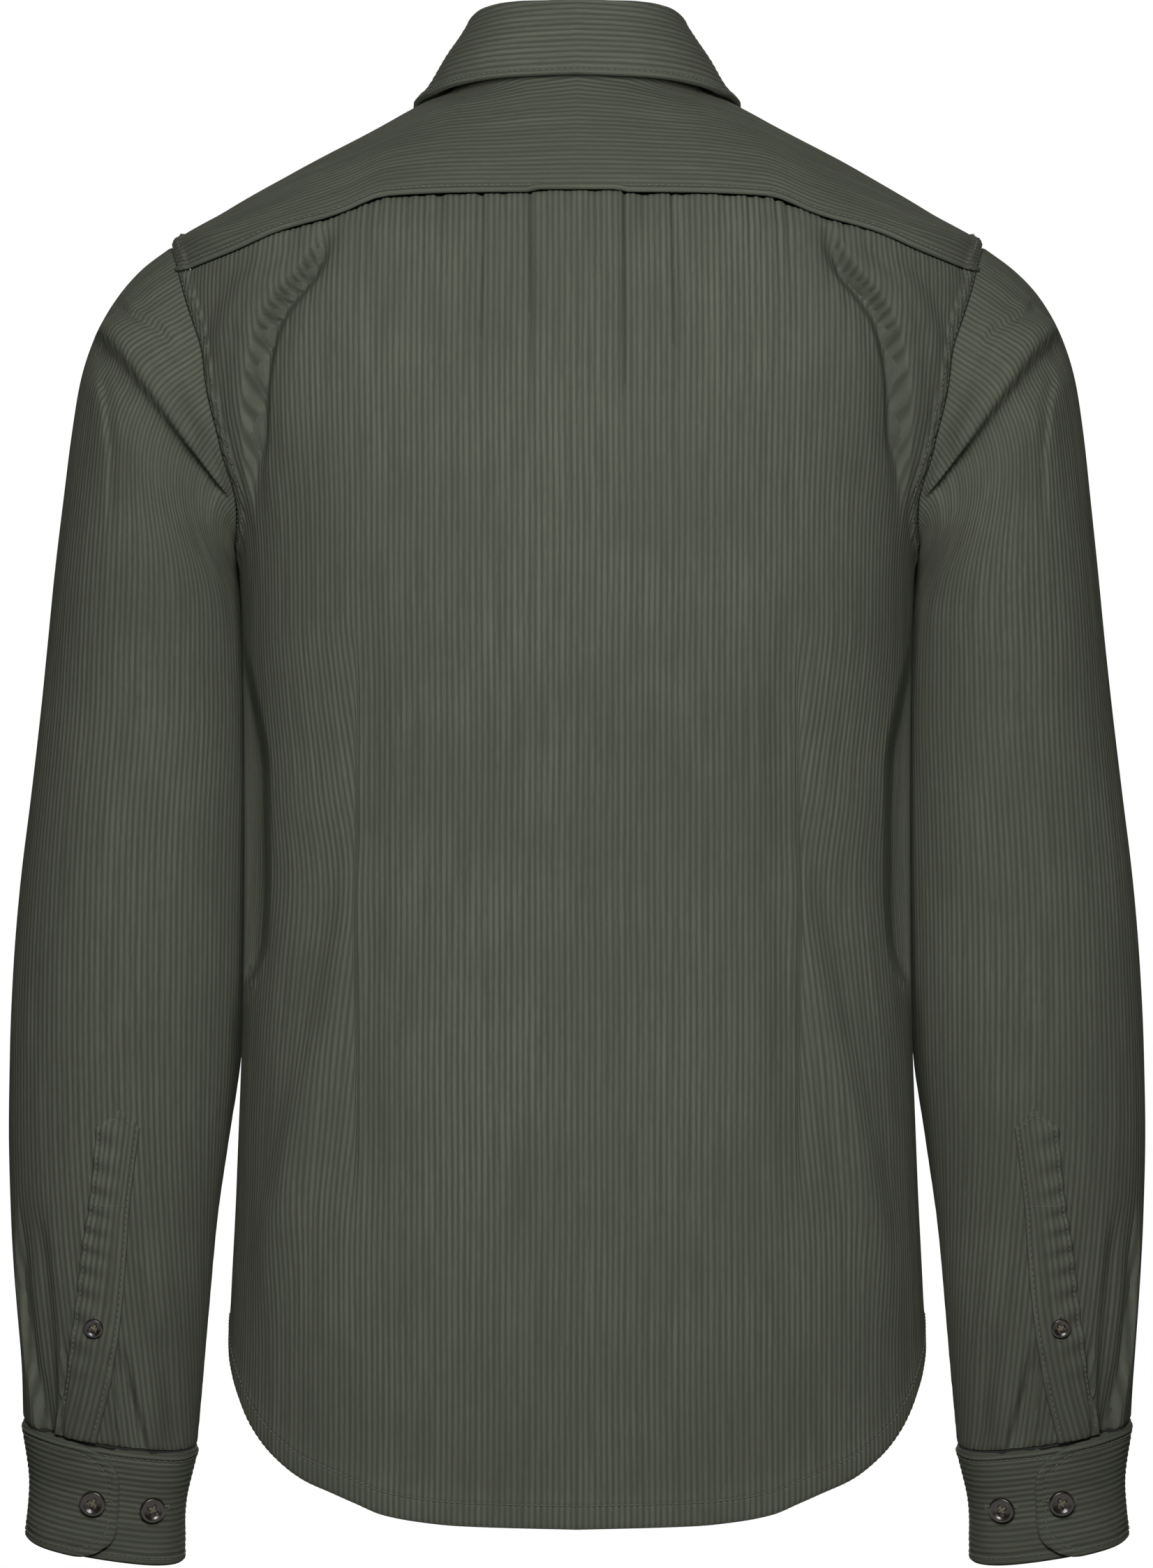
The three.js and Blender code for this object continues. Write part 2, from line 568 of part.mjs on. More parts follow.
// Places a section between its outer and inner ends. angle is 0 at the outer end and a quarter turn at the back.
function onSection(size, angle) {
  const exponent = 2 / SLEEVE_SQUARE;
  const c = power(Math.cos(angle), exponent);
  const s = power(Math.sin(angle), exponent);
  const depth = s > 0 ? size.back : size.front;
  const y = size.middleY + depth * s;
  return new THREE.Vector3(
    (size.outerX + size.innerX) / 2 + (c * (size.outerX - size.innerX)) / 2,
    y,
    (size.outerZ + size.innerZ) / 2 + (c * (size.outerZ - size.innerZ)) / 2 - size.lean * depth * s,
  );
}

// The armhole's own curve, on the body
function onArmhole(angle) {
  const exponent = 2 / ARMHOLE.square;
  const z = (ARMHOLE.top + ARMHOLE.bottom) / 2 + ((ARMHOLE.top - ARMHOLE.bottom) / 2) * power(Math.cos(angle), exponent);
  const s = power(Math.sin(angle), exponent);
  const y = (s > 0 ? ARMHOLE.back : ARMHOLE.front) * s;
  return dressed(new THREE.Vector3(halfWidthAt(y, z), y, z)).at;
}

const SLEEVE_START = 0.9; // the sleeve starts this far out from the armhole's edge

// A point of the left sleeve, at an angle round it and a row down it
function onSleeve(angle, row) {
  const size = Object.fromEntries(Object.entries(sleeveSize).map(([name, curve]) => [name, curve(row)]));
  const p = onSection(size, angle);
  if (row < ARMHOLE_BLEND_ROWS) {
    const first = Object.fromEntries(Object.entries(sleeveSize).map(([name, curve]) => [name, curve(0)]));
    const shift = onArmhole(angle).sub(onSection(first, angle));
    shift.x += SLEEVE_START;
    p.addScaledVector(shift, (1 - row / ARMHOLE_BLEND_ROWS) ** 2);
  }
  const middle = new THREE.Vector3((size.outerX + size.innerX) / 2, size.middleY, (size.outerZ + size.innerZ) / 2);
  const away = p.clone().sub(middle).normalize();
  const facingOut = ease(Math.abs(Math.sin(angle)), 0.05, 0.5);
  const started = ease(row, 0, 1.2);
  const height = foldHeight(SLEEVE_FOLDS, p.x, p.z, Math.sin(angle) > 0 ? 1 : -1) * facingOut * started;
  return p.addScaledVector(away, height);
}

// The sleeve's columns: a few of them carry the placket, which leans, and the rest are spread over what is left.
const ROUND_SLEEVE = 22;
const PLACKET_COLUMN = 5;
const PLACKET_ROWS = { tip: 13.55, shoulder: 13.77, foot: SLEEVE_LAST };
const PLACKET_ANGLES = { tip: 1.595, foot: 1.2 };
const SLEEVE_ROWS = [
  0, 0.7, 1.4, 2.1, 2.8, 3.5, 4.2, 4.9, 5.6, 6.4, 7.4, 8.6, 9.7, 10.8, 11.9, 12.9,
  PLACKET_ROWS.tip, PLACKET_ROWS.shoulder, 14.7, 15.5, 16.1, 17.1, SLEEVE_LAST,
];

const PLACKET_CELLS = SLEEVE_ROWS.filter((row) => row >= PLACKET_ROWS.tip).length; // rows of the placket

function placketAngle(row) {
  const down = Math.max(0, (row - PLACKET_ROWS.tip) / (PLACKET_ROWS.foot - PLACKET_ROWS.tip));
  return PLACKET_ANGLES.tip + (PLACKET_ANGLES.foot - PLACKET_ANGLES.tip) * down ** 1.8;
}

function sleeveAngle(column, row) {
  const middle = placketAngle(row);
  const step = 0.02;
  const perRadian = onSleeve(middle + step, row).distanceTo(onSleeve(middle - step, row)) / (2 * step);
  const half = PLACKET_WIDTH / 2 / perRadian;
  if (Math.abs(column - PLACKET_COLUMN) <= 1) return middle + (column - PLACKET_COLUMN) * half;
  if (column < PLACKET_COLUMN) return ((middle - half) * column) / (PLACKET_COLUMN - 1);
  const left = ROUND_SLEEVE - PLACKET_COLUMN - 1;
  return middle + half + ((2 * Math.PI - middle - half) * (column - PLACKET_COLUMN - 1)) / left;
}

function sleeve() {
  const columns = spaced(0, ROUND_SLEEVE, ROUND_SLEEVE);
  const rows = SLEEVE_ROWS.map((row) => columns.map((column) => onSleeve(sleeveAngle(column, row), row)));
  rows.forEach((row) => { row[row.length - 1] = row[0].clone(); });
  const cells = split(facing(rows.reverse()));
  const last = PLACKET_CELLS - 2;
  cells[last][PLACKET_COLUMN - 1].rising = true;
  cells[last][PLACKET_COLUMN].rising = false;
  return cells;
}

// The placket is the sleeve's own points under it, moved out, and drawn together at its tip.
const PLACKET_LIFT = CLOTH + SEAM + 0.1;

function placket(cells) {
  return cells.slice(0, PLACKET_CELLS).map((row, j) => [-1, 0, 1].map((across) => {
    const { at, out } = row[j === PLACKET_CELLS - 1 ? PLACKET_COLUMN : PLACKET_COLUMN + across];
    return { at: at.clone().addScaledVector(out, PLACKET_LIFT), out, rising: row[PLACKET_COLUMN + across].rising };
  }));
}

// How far the cuff's covered end lies inside its other end. The cuff turns once and a little more, from its
// covered end to its buttonhole end.
function cuffSink(angle) {
  const start = CUFF_END - CUFF_LAP * CUFF_PER_MM;
  const turned = (angle - start) / (2 * Math.PI + CUFF_LAP * CUFF_PER_MM);
  return (TWO_PLY + SEAM + 0.3) * (1 - ease(turned, 0.15, 0.25));
}

// A cuff's point at an angle and a share of the way down from its seam
function onCuff(angle, share) {
  const waist = CUFF_WAIST * Math.sin(Math.PI * share) ** 2;
  const size = Object.fromEntries(Object.keys(CUFF_TOP).map((name) => {
    return [name, CUFF_TOP[name] + (CUFF_BOTTOM[name] - CUFF_TOP[name]) * share];
  }));
  const grow = -cuffSink(angle) - waist;
  size.outerX += grow;
  size.innerX -= grow;
  size.back += grow;
  size.front += grow;
  return onSection(size, angle);
}

const CUFF_HEIGHT = 58;
const CUFF_CORNER = 22; // radius of the buttonhole end's corners
const CUFF_ROWS = [0, 0.1, 0.28, 0.5, 0.72, 0.9, 1];

// How far the buttonhole end is cut back at a share of the cuff's height
function cuffCorner(share) {
  const fromEdge = Math.min(share, 1 - share) * CUFF_HEIGHT;
  if (fromEdge >= CUFF_CORNER) return 0;
  return CUFF_CORNER - Math.sqrt(CUFF_CORNER ** 2 - (CUFF_CORNER - fromEdge) ** 2);
}

function cuff() {
  const rows = CUFF_ROWS.map((share) => {
    const start = CUFF_END - CUFF_LAP * CUFF_PER_MM;
    const end = CUFF_END + 2 * Math.PI - cuffCorner(share) * CUFF_PER_MM;
    return spaced(start, end, CUFF_STEPS).map((angle) => onCuff(angle, share));
  });
  return facing(rows.reverse());
}

// The stand is a band round the neck whose left end laps over its right one.
const STAND_IN = TWO_PLY + 1.2; // the stand's top lies this far inside the roll line
const roll = { x: smooth(ROLL.angle, ROLL.x), y: smooth(ROLL.angle, ROLL.y), z: smooth(ROLL.angle, ROLL.z) };
const leafEdge = {
  x: smooth(LEAF_EDGE.angle, LEAF_EDGE.x), y: smooth(LEAF_EDGE.angle, LEAF_EDGE.y), z: smooth(LEAF_EDGE.angle, LEAF_EDGE.z),
};

// A point on one of the collar's lines at an angle in radians, which may be past the centre front
function onCollarLine(line, angle) {
  const turn = Math.abs(angle);
  const degrees = (turn * 180) / Math.PI;
  const x = degrees <= COLLAR_END ? line.x(degrees) : line.x(COLLAR_END) * ((180 - degrees) / (180 - COLLAR_END));
  return new THREE.Vector3(Math.sign(angle) * x, line.y(degrees), line.z(degrees));
}

function stand() {
  const back = spaced(1, YOKE_NECK_COLUMNS - 1, YOKE_NECK_COLUMNS - 2).map((i) => (YOKE_CORNER * i) / YOKE_NECK_COLUMNS);
  const half = [...FRONT_NECK_ANGLES, ...back.reverse()];
  const angles = [...half, 0, ...half.map((angle) => -angle).reverse()];
  const rows = spaced(0, 1, 3).map((share) => angles.map((angle) => {
    const low = neckline(angle);
    low.z += SEAM + 0.4;
    const high = onCollarLine(roll, angle);
    const flat = Math.hypot(high.x, high.y);
    high.x *= 1 - STAND_IN / flat;
    high.y *= 1 - STAND_IN / flat;
    high.z -= 1.2;
    const p = low.lerp(high, share);
    const under = 1 - ease(angle, -Math.PI + 0.12, -Math.PI + 0.55);
    const away = Math.hypot(p.x, p.y);
    const sink = 1 - ((TWO_PLY + SEAM + 0.2) * under) / away;
    return new THREE.Vector3(p.x * sink, p.y * sink, p.z);
  }));
  return facing(rows);
}

// Moves a point out until it is clear of the body
function clearOfBody(p, clear) {
  for (let i = 0; i < 6; i++) {
    const out = bodyNormal(p);
    const step = 0.5;
    const here = bodyLevel(p.x, p.y, p.z);
    const there = bodyLevel(p.x + out.x * step, p.y + out.y * step, p.z + out.z * step);
    const short = clear - ((here - 1) / (there - here)) * step;
    if (short > 0) p.addScaledVector(out, short);
  }
  return p;
}

const LEAF_ROWS = [0, 0.18, 0.42, 0.7, 1];
const LEAF_STEPS = 30;

function leaf() {
  const end = (COLLAR_END * Math.PI) / 180;
  const angles = spaced(end, -end, LEAF_STEPS);
  const lines = angles.map((angle) => {
    const high = onCollarLine(roll, angle);
    const low = onCollarLine(leafEdge, angle);
    const seam = high.clone();
    const flat = Math.hypot(high.x, high.y);
    seam.x *= 1 - (TWO_PLY + 0.4) / flat;
    seam.y *= 1 - (TWO_PLY + 0.4) / flat;
    seam.z += ROLL_RISE - 1;
    const crest = high.clone();
    crest.z += ROLL_RISE;
    const fall = LEAF_ROWS.slice(1).map((share) => {
      const p = high.clone().lerp(low, share);
      const bulge = 2.2 * Math.sin(Math.PI * share);
      const away = Math.hypot(p.x, p.y);
      p.x *= 1 + (bulge + 1) / away;
      p.y *= 1 + (bulge + 1) / away;
      return clearOfBody(p, TWO_PLY + LEAF_CLEAR);
    });
    return [...fall.reverse(), high.clone().add(new THREE.Vector3((high.x / flat) * 1.4, (high.y / flat) * 1.4, 0.6)), crest, seam];
  });
  return facing(lines[0].map((_, j) => lines.map((line) => line[j])));
}

// A round button with a raised rim, its back at z 0
function buttonGeometry({ across, thick }) {
  const r = across / 2;
  const profile = [[0, 0], [r * 0.82, 0], [r, thick * 0.45], [r * 0.93, thick], [r * 0.72, thick * 0.94], [r * 0.6, thick * 0.66], [0, thick * 0.66]];
  const turned = new THREE.LatheGeometry(profile.map(([x, y]) => new THREE.Vector2(x, y)), 12);
  return turned.rotateX(Math.PI / 2);
}

const shirt = new THREE.Group();

function add(name, geometry, material) {
  const mesh = new THREE.Mesh(geometry, material);
  mesh.name = name;
  shirt.add(mesh);
  return mesh;
}

const BUTTON_LIFT = 0.9; // a button stands this far off the cloth on its thread

// Sews a button on at a place, facing out of the cloth
function sewOn(name, size, at, out) {
  const mesh = add(name, buttonGeometry(size), HORN);
  mesh.position.copy(at).addScaledVector(out, BUTTON_LIFT);
  mesh.quaternion.setFromUnitVectors(new THREE.Vector3(0, 0, 1), out);
}

function mirrored(v) {
  return new THREE.Vector3(-v.x, v.y, v.z);
}

// A cuff's place and direction out at an angle and share
function cuffSeat(angle, share) {
  const step = 0.03;
  const across = onCuff(angle + step, share).sub(onCuff(angle - step, share));
  const down = onCuff(angle, share + step).sub(onCuff(angle, share - step));
  return { at: onCuff(angle, share), out: down.cross(across).normalize() };
}

const CUFF_BUTTON_SHARE = 0.5;
const FIRST_BUTTON_ANGLE = CUFF_END - 0.28 + 2 * Math.PI; // on the buttonhole end
const SECOND_BUTTON_ANGLE = CUFF_END + 0.47;
const PLACKET_BUTTON_ROW = 2; // counted from the cuff

function addSleeve(word, mirror) {
  const turn = mirror ? mirrored : (v) => v;
  const cells = sleeve();
  const strip = placket(cells);
  add("sleeve_" + word, wall(cells, CLOTH, mirror), CORD);
  add("cuff_" + word, wall(cuff(), TWO_PLY, mirror), CORD);
  add("sleeve_placket_" + word, wall(strip, CLOTH, mirror), CORD);
  [["a", FIRST_BUTTON_ANGLE], ["b", SECOND_BUTTON_ANGLE]].forEach(([letter, angle]) => {
    const seat = cuffSeat(angle, CUFF_BUTTON_SHARE);
    sewOn("cuff_button_" + word + "_" + letter, CUFF_BUTTON, turn(seat.at), turn(seat.out));
  });
  const seat = strip[PLACKET_BUTTON_ROW][1];
  sewOn("placket_button_" + word, PLACKET_BUTTON, turn(seat.at), turn(seat.out));
}

function addFrontButtons() {
  for (let i = 0; i < FRONT_BUTTON_COUNT; i++) {
    const z = FRONT_BUTTON_TOP - i * FRONT_BUTTON_SPACING;
    const seat = dressed(onFront(0, z));
    sewOn("front_button_" + (i + 1), FRONT_BUTTON, seat.at, seat.out);
  }
}

add("back", wall(backPanel(), CLOTH), CORD);
add("yoke", wall(yoke(), CLOTH), CORD);
add("front_left", wall(frontPanel(1), CLOTH), CORD);
add("front_right", wall(frontPanel(-1), CLOTH), CORD);
add("collar_stand", wall(stand(), TWO_PLY), CORD);
add("collar_leaf", wall(leaf(), TWO_PLY), CORD);
addSleeve("left", false);
addSleeve("right", true);
addFrontButtons();

export default shirt;
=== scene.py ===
"""A corduroy overshirt seen from behind, hollow, as it hangs when it is worn.

The pattern's sizes are in millimetres, in the frame of the solids: +Z up, the back faces +Y and +X is the
wearer's left. Each cut piece is laid out along its own ribs: rows run across them, and the mesh has several
points over each rib, so that the ribs stand up from the cloth. Every piece is a closed shell.
"""

import math

import bpy
import numpy as np
from mathutils import Matrix, Vector
from mathutils.bvhtree import BVHTree


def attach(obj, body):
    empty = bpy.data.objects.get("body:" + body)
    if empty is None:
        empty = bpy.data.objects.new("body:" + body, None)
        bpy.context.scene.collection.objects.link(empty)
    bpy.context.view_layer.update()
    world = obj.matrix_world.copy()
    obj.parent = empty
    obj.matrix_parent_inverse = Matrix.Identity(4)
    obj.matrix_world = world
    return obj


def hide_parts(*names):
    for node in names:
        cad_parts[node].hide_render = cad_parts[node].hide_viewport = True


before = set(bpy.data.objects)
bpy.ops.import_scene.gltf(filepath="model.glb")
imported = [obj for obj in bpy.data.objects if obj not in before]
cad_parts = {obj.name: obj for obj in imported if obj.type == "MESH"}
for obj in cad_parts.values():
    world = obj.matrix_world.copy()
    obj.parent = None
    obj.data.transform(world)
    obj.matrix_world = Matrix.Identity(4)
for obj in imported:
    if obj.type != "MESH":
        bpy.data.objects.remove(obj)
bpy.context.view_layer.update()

MM = 0.001

# Cloth
CLOTH = 1.6  # one layer
TWO_PLY = 2.6  # collar, stand and cuffs
SEAM = 0.3  # between pieces that are sewn together
RIB = 3.0  # from one rib to the next
RIB_POINTS = 4  # mesh points over a rib
RIB_HEIGHT = 0.48
RIB_SEAT = -0.32  # the bottom between ribs lies this far inside the pattern's surface
RIB_FLATNESS = 2.1  # how flat the top of a rib is
EDGE_ROLL = 0.5  # how far a piece's edge turns in
HEM_TURN = 13
ARMHOLE_BAND = 9  # the felled seam beside an armhole
YOKE_EDGE = 5.6  # the yoke's turned edge, which lies over the back
YOKE_STITCH = 4.4

# Fastenings
FRONT_LAP = 17
FRONT_EDGE_SINK = 3.4
CUFF_LAP = 40
PLACKET_WIDTH = 24
PLACKET_STITCH = 2.2
PLACKET_CROSS = 39  # from the shoulders of its tip down to the stitches across it
CUFF_BUTTON = {"across": 13.5, "thick": 2.9}
PLACKET_BUTTON = {"across": 10, "thick": 2.3}
FRONT_BUTTON = {"across": 12, "thick": 2.6}

# The stitch of all top stitching
STITCH = {"length": 2.5, "gap": 0.7, "thick": 0.62, "rise": 0.12}


def table(names, rows):
    """A table's columns by name."""
    return {name: np.array([row[i] for row in rows], float) for i, name in enumerate(names.split())}


BODY = table("z side back front square_back square_front", [
    [-740, 181, 121, 116, 2.5, 2.4], [-640, 179, 119, 115, 2.55, 2.35], [-550, 175, 114, 112, 2.5, 2.2],
    [-465, 172.2, 108, 110, 2.45, 2.05], [-400, 171.6, 108, 113, 2.4, 2], [-350, 171.6, 112, 118, 2.4, 2],
    [-300, 172, 118, 123, 2.45, 2.05], [-260, 172.6, 122, 126, 2.5, 2.15], [-230, 174.5, 124, 126, 2.5, 2.3],
    [-205, 180, 125, 125, 2.45, 2.4], [-180, 190, 125, 122, 2.45, 2.4], [-140, 204, 124, 113, 2.4, 2.4],
    [-100, 212, 121, 97, 2.3, 2.3], [-74, 208, 117, 82, 2.2, 2.2], [-57, 183, 111, 71, 2.15, 2.15],
    [-35, 145, 98, 62, 2.1, 2.1], [-13, 103, 81, 49, 2.05, 2.05], [0, 79, 70, 34, 2, 2],
    [6, 65, 65, 21, 2, 2], [16, 58, 57, 8, 2, 2],
])
NECK = {"side": 65, "back": 58, "front": 68}
ARMHOLE = {"top": -74, "bottom": -230, "back": 62, "front": 60, "square": 2.2}
YOKE_BACK = table("x z", [[0, -53], [60, -53], [96, -54], [121, -63], [152, -71.5], [173, -80], [200, -89]])
YOKE_FRONT = table("x z", [[60, -10], [75, -18], [90, -26], [120, -41], [160, -63], [202, -97]])
HEM_BACK = table("share z", [
    [0, -724.5], [0.24, -723], [0.33, -721], [0.4, -718], [0.455, -713], [0.51, -708], [0.58, -702],
    [0.665, -690.5], [0.735, -678], [0.83, -658], [0.94, -640], [1, -633],
])
HEM_FRONT = table("share z", [[0, -712], [0.35, -710], [0.55, -699], [0.7, -680], [0.83, -656], [1, -633]])
PLEAT = {"half": 22.5, "lip": 3.5, "height": 2.6, "top": -50, "gone": -230}
SLEEVE = table("row outer_x outer_z inner_x inner_z middle_y back front lean", [
    [0, 209.5, -74, 174.5, -230, 1, 62, 60, 0], [1, 225, -86, 176, -232, 1, 64, 62, 0],
    [2, 238, -101, 176.5, -235, 0, 65.5, 63, 0], [3, 249, -121, 176.8, -238, -1, 66.5, 64, 0],
    [4, 256, -143, 176.8, -241, -3, 67, 64, 0], [5, 260.5, -170, 176.5, -245, -6, 67.5, 64, 0],
    [6, 265, -206, 176, -252, -10, 67.5, 63, 0], [7, 269.5, -242, 175, -265, -15, 66.5, 62, 0],
    [8, 273.5, -277, 173.4, -288, -20, 65, 60, 0], [9, 278, -316, 171.6, -320, -24, 62, 57, 0],
    [10, 283, -359, 170.6, -359, -26, 60, 55, 0], [11, 288, -402, 170.6, -402, -27, 57, 53, 0],
    [12, 291.6, -445, 171.4, -445, -28, 54, 51, 0.03], [13, 294, -489, 174.4, -490, -30, 51, 49, 0.06],
    [14, 295, -532, 181, -535, -32, 48, 46, 0.09], [15, 294, -575, 187.5, -580, -35, 45, 43, 0.11],
    [16, 291.5, -618, 191.7, -625, -38, 42, 40, 0.13], [17, 289.5, -652, 195, -662, -41, 39, 37, 0.14],
    [18, 288.3, -680, 198, -694, -44, 35, 33, 0.15],
])
SLEEVE_SQUARE = 2.15
SLEEVE_LAST = 18
SLEEVE_START = 0.9
ARMHOLE_BLEND_ROWS = 4
CUFF = table("share outer_x outer_z inner_x inner_z middle_y back front lean", [
    [0, 289, -681.8, 197.6, -695.8, -44.1, 35.6, 33.6, 0.15],
    [1, 287.5, -743, 205, -755, -52, 32, 30.5, 0.15],
])
CUFF_WAIST = 2.5
CUFF_END = 1.73
CUFF_ROUND = 250.0  # once round the wrist
CUFF_PER_MM = 2 * math.pi / CUFF_ROUND
CUFF_HEIGHT = 61
CUFF_CORNER = 22
CUFF_STITCH = 4.4
PLACKET = {
    "tip_row": 13.55, "shoulder_row": 13.77, "tip_angle": 1.595, "foot_angle": 1.2,
    "lift": CLOTH + SEAM + 0.3,
}
ROLL = table("angle x y z", [
    [0, 0, 58, 46], [30, 29, 52, 45.5], [60, 49, 34, 43], [85, 56.5, 8, 35], [110, 54, -22, 17],
    [135, 41, -48, -2], [155, 23, -65, -17], [172, 7, -72.5, -27],
])
LEAF_EDGE = table("angle x y z", [
    [0, 0, 70, 10], [30, 37, 63, 9], [60, 65, 43, 6], [80, 77, 20, 2], [95, 81, -6, -4], [110, 83, -32, -14],
    [130, 78, -62, -37], [150, 65, -84, -64], [172, 48, -95, -86],
])
COLLAR_END = 172
LEAF_CLEAR = 0.6
ROLL_RISE = 3
STAND_IN = TWO_PLY + 1.2
COLLAR_STITCH = 2.6

# Folds of the body: lines of points across and up. Each raises the cloth by its height, over its reach.
# `on` is 1 for the back and -1 for the front.
BODY_FOLDS = [
    {"on": 1, "height": -3.5, "reach": 15,
     "line": [[122, -62], [136, -90], [148, -108], [156, -134], [160, -168], [161, -205]]},
    {"on": 1, "height": 4, "reach": 14,
     "line": [[146, -80], [166, -101], [177, -122], [181, -145], [181, -175], [174, -215]]},
    {"on": 1, "height": 2.5, "reach": 26, "line": [[140, -330], [144, -400], [149, -520], [148, -610]]},
    {"on": 1, "height": 2.8, "reach": 15,
     "line": [[108, -372], [112, -410], [124, -468], [141, -530], [154, -590], [160, -640]]},
    {"on": 1, "height": -1.8, "reach": 17, "line": [[124, -392], [138, -452], [152, -520], [163, -580]]},
    {"on": 1, "height": -2.4, "reach": 17, "line": [[104, -230], [107, -360], [108, -480], [108, -592]]},
    {"on": -1, "height": -3.5, "reach": 24, "line": [[172, -160], [148, -205], [112, -245]]},
    {"on": -1, "height": 3, "reach": 26, "line": [[166, -222], [138, -262], [104, -300]]},
    {"on": -1, "height": 2.4, "reach": 11, "line": [[175, -212], [174, -230], [173, -250], [172, -280]]},
    {"on": -1, "height": -5, "reach": 30, "line": [[156, -300], [152, -360], [154, -430]]},
]
SLEEVE_FOLDS = [
    {"on": 1, "height": 5.5, "reach": 19,
     "line": [[242, -108], [228, -126], [213, -146], [200, -166], [187, -186]]},
    {"on": 1, "height": -3, "reach": 15,
     "line": [[250, -124], [236, -143], [222, -163], [208, -183], [195, -203], [184, -218]]},
    {"on": -1, "height": 4.5, "reach": 19, "line": [[238, -114], [218, -140], [198, -168]]},
    {"on": -1, "height": -5, "reach": 16, "line": [[246, -130], [227, -157], [207, -185], [190, -208]]},
    {"on": -1, "height": -4.5, "reach": 22, "line": [[186, -395], [220, -402], [260, -398]]},
    {"on": -1, "height": 3, "reach": 22, "line": [[186, -362], [220, -368], [260, -360]]},
    {"on": -1, "height": 3, "reach": 22, "line": [[190, -436], [224, -442], [264, -434]]},
    {"on": 1, "height": -3.6, "reach": 9, "line": [[281, -560], [276, -620], [273, -672], [272, -700]]},
    {"on": 1, "height": -2.6, "reach": 9, "line": [[238, -640], [231, -670], [226, -700]]},
    {"on": 1, "height": -2.2, "reach": 9, "line": [[216, -630], [210, -665], [207, -700]]},
]


# Creases, where the cloth of one side hangs over the other in a lip: `raised` is the side of the line, seen
# along it, that hangs over.
BODY_CREASES = [
    {"on": 1, "raised": 1, "lip": 4.4, "sunk": 8.4, "reach": 12, "drop": 2.8,
     "line": [[126, -64], [133, -76], [140, -89], [151.6, -102.6], [157.7, -111.6], [162, -122],
              [165, -134.6],
              [167, -147], [168, -165], [168, -190], [166, -222]]},
    {"on": -1, "raised": 1, "lip": 1.2, "sunk": 1.6, "reach": 14, "drop": 4,
     "line": [[172, -150], [152, -190], [128, -226], [104, -250]]},
]
SLEEVE_CREASES = [
    {"on": 1, "raised": -1, "lip": 4.6, "sunk": 4.4, "reach": 15, "drop": 1.8,
     "line": [[250, -119], [243, -122], [231, -134], [218, -151], [205, -168], [192, -185],
              [181, -199], [176, -206]]},
    {"on": 1, "raised": -1, "lip": 1.2, "sunk": 1.4, "reach": 8, "drop": 2.5,
     "line": [[236, -100], [226, -110], [212, -116], [202, -128]]},
    {"on": 1, "raised": 1, "lip": 1.0, "sunk": 1.2, "reach": 9, "drop": 3,
     "line": [[248, -136], [243, -156], [240, -184], [241, -220]]},
    {"on": -1, "raised": -1, "lip": 2.6, "sunk": 2.4, "reach": 13, "drop": 3,
     "line": [[246, -124], [232, -138], [216, -158], [200, -178], [186, -196]]},
    {"on": 1, "raised": 1, "lip": 2.4, "sunk": 3.2, "reach": 8, "drop": 1.6,
     "line": [[290, -560], [289, -610], [285, -650], [279, -684], [278, -700]]},
    {"on": 1, "raised": 1, "lip": 1.6, "sunk": 2.2, "reach": 6, "drop": 1.5,
     "line": [[266, -634], [267, -660], [269, -684], [269, -700]]},
    {"on": 1, "raised": -1, "lip": 1.2, "sunk": 2.0, "reach": 7, "drop": 1.8,
     "line": [[232, -642], [228, -664], [222, -686], [219, -702]]},
    {"on": 1, "raised": 1, "lip": 1.0, "sunk": 1.6, "reach": 6, "drop": 1.6,
     "line": [[240, -650], [239, -670], [240, -702]]},
    {"on": -1, "raised": 1, "lip": 1.6, "sunk": 2.2, "reach": 8, "drop": 1.8,
     "line": [[262, -612], [260, -650], [258, -700]]},
    {"on": -1, "raised": -1, "lip": 1.4, "sunk": 2.0, "reach": 7, "drop": 1.8,
     "line": [[232, -630], [234, -662], [236, -702]]},
]

# Where the back turns in under the arm, half a width at a height, and how deep that hollow is
FLANK = table("z x", [
    [-560, 240], [-520, 200], [-480, 176], [-462, 173], [-446, 161], [-430, 155.5], [-400, 154],
    [-343, 155.5], [-311, 161], [-290, 166], [-262, 173], [-230, 178], [-205, 200], [-150, 240],
])
FLANK_DEEP = 30

# Each dart takes in the back at the waist: its distance from the centre, and the cloth it takes by height
DART = {"off": 113.5, "line": 2.4, "deep": 1.1}
DART_TAKE = table("z take", [
    [-640, 0], [-600, 0], [-520, 5.5], [-460, 12], [-405, 17], [-350, 10.5], [-300, 3.5], [-262, 0], [-40, 0],
])


def smooth(xs, ys):
    """A smooth curve through points whose xs rise, with no overshoot between them."""
    rise = np.diff(ys) / np.diff(xs)
    before, after = rise[:-1], rise[1:]
    alike = before * after > 0
    inner = np.where(alike, 2 * before * after / np.where(alike, before + after, 1), 0)
    slope = np.concatenate([rise[:1], inner, rise[-1:]])

    def curve(x):
        x = np.clip(x, xs[0], xs[-1])
        i = np.clip(np.searchsorted(xs, x, side="right") - 1, 0, len(xs) - 2)
        h = xs[i + 1] - xs[i]
        t = (x - xs[i]) / h
        u = 1 - t
        between = u * u * (1 + 2 * t) * ys[i] + t * t * (3 - 2 * t) * ys[i + 1]
        return between + h * t * u * (u * slope[i] - t * slope[i + 1])

    return curve


def curves(columns, along):
    """A smooth curve for each column of a table, against the column named by `along`."""
    return {name: smooth(columns[along], column) for name, column in columns.items() if name != along}


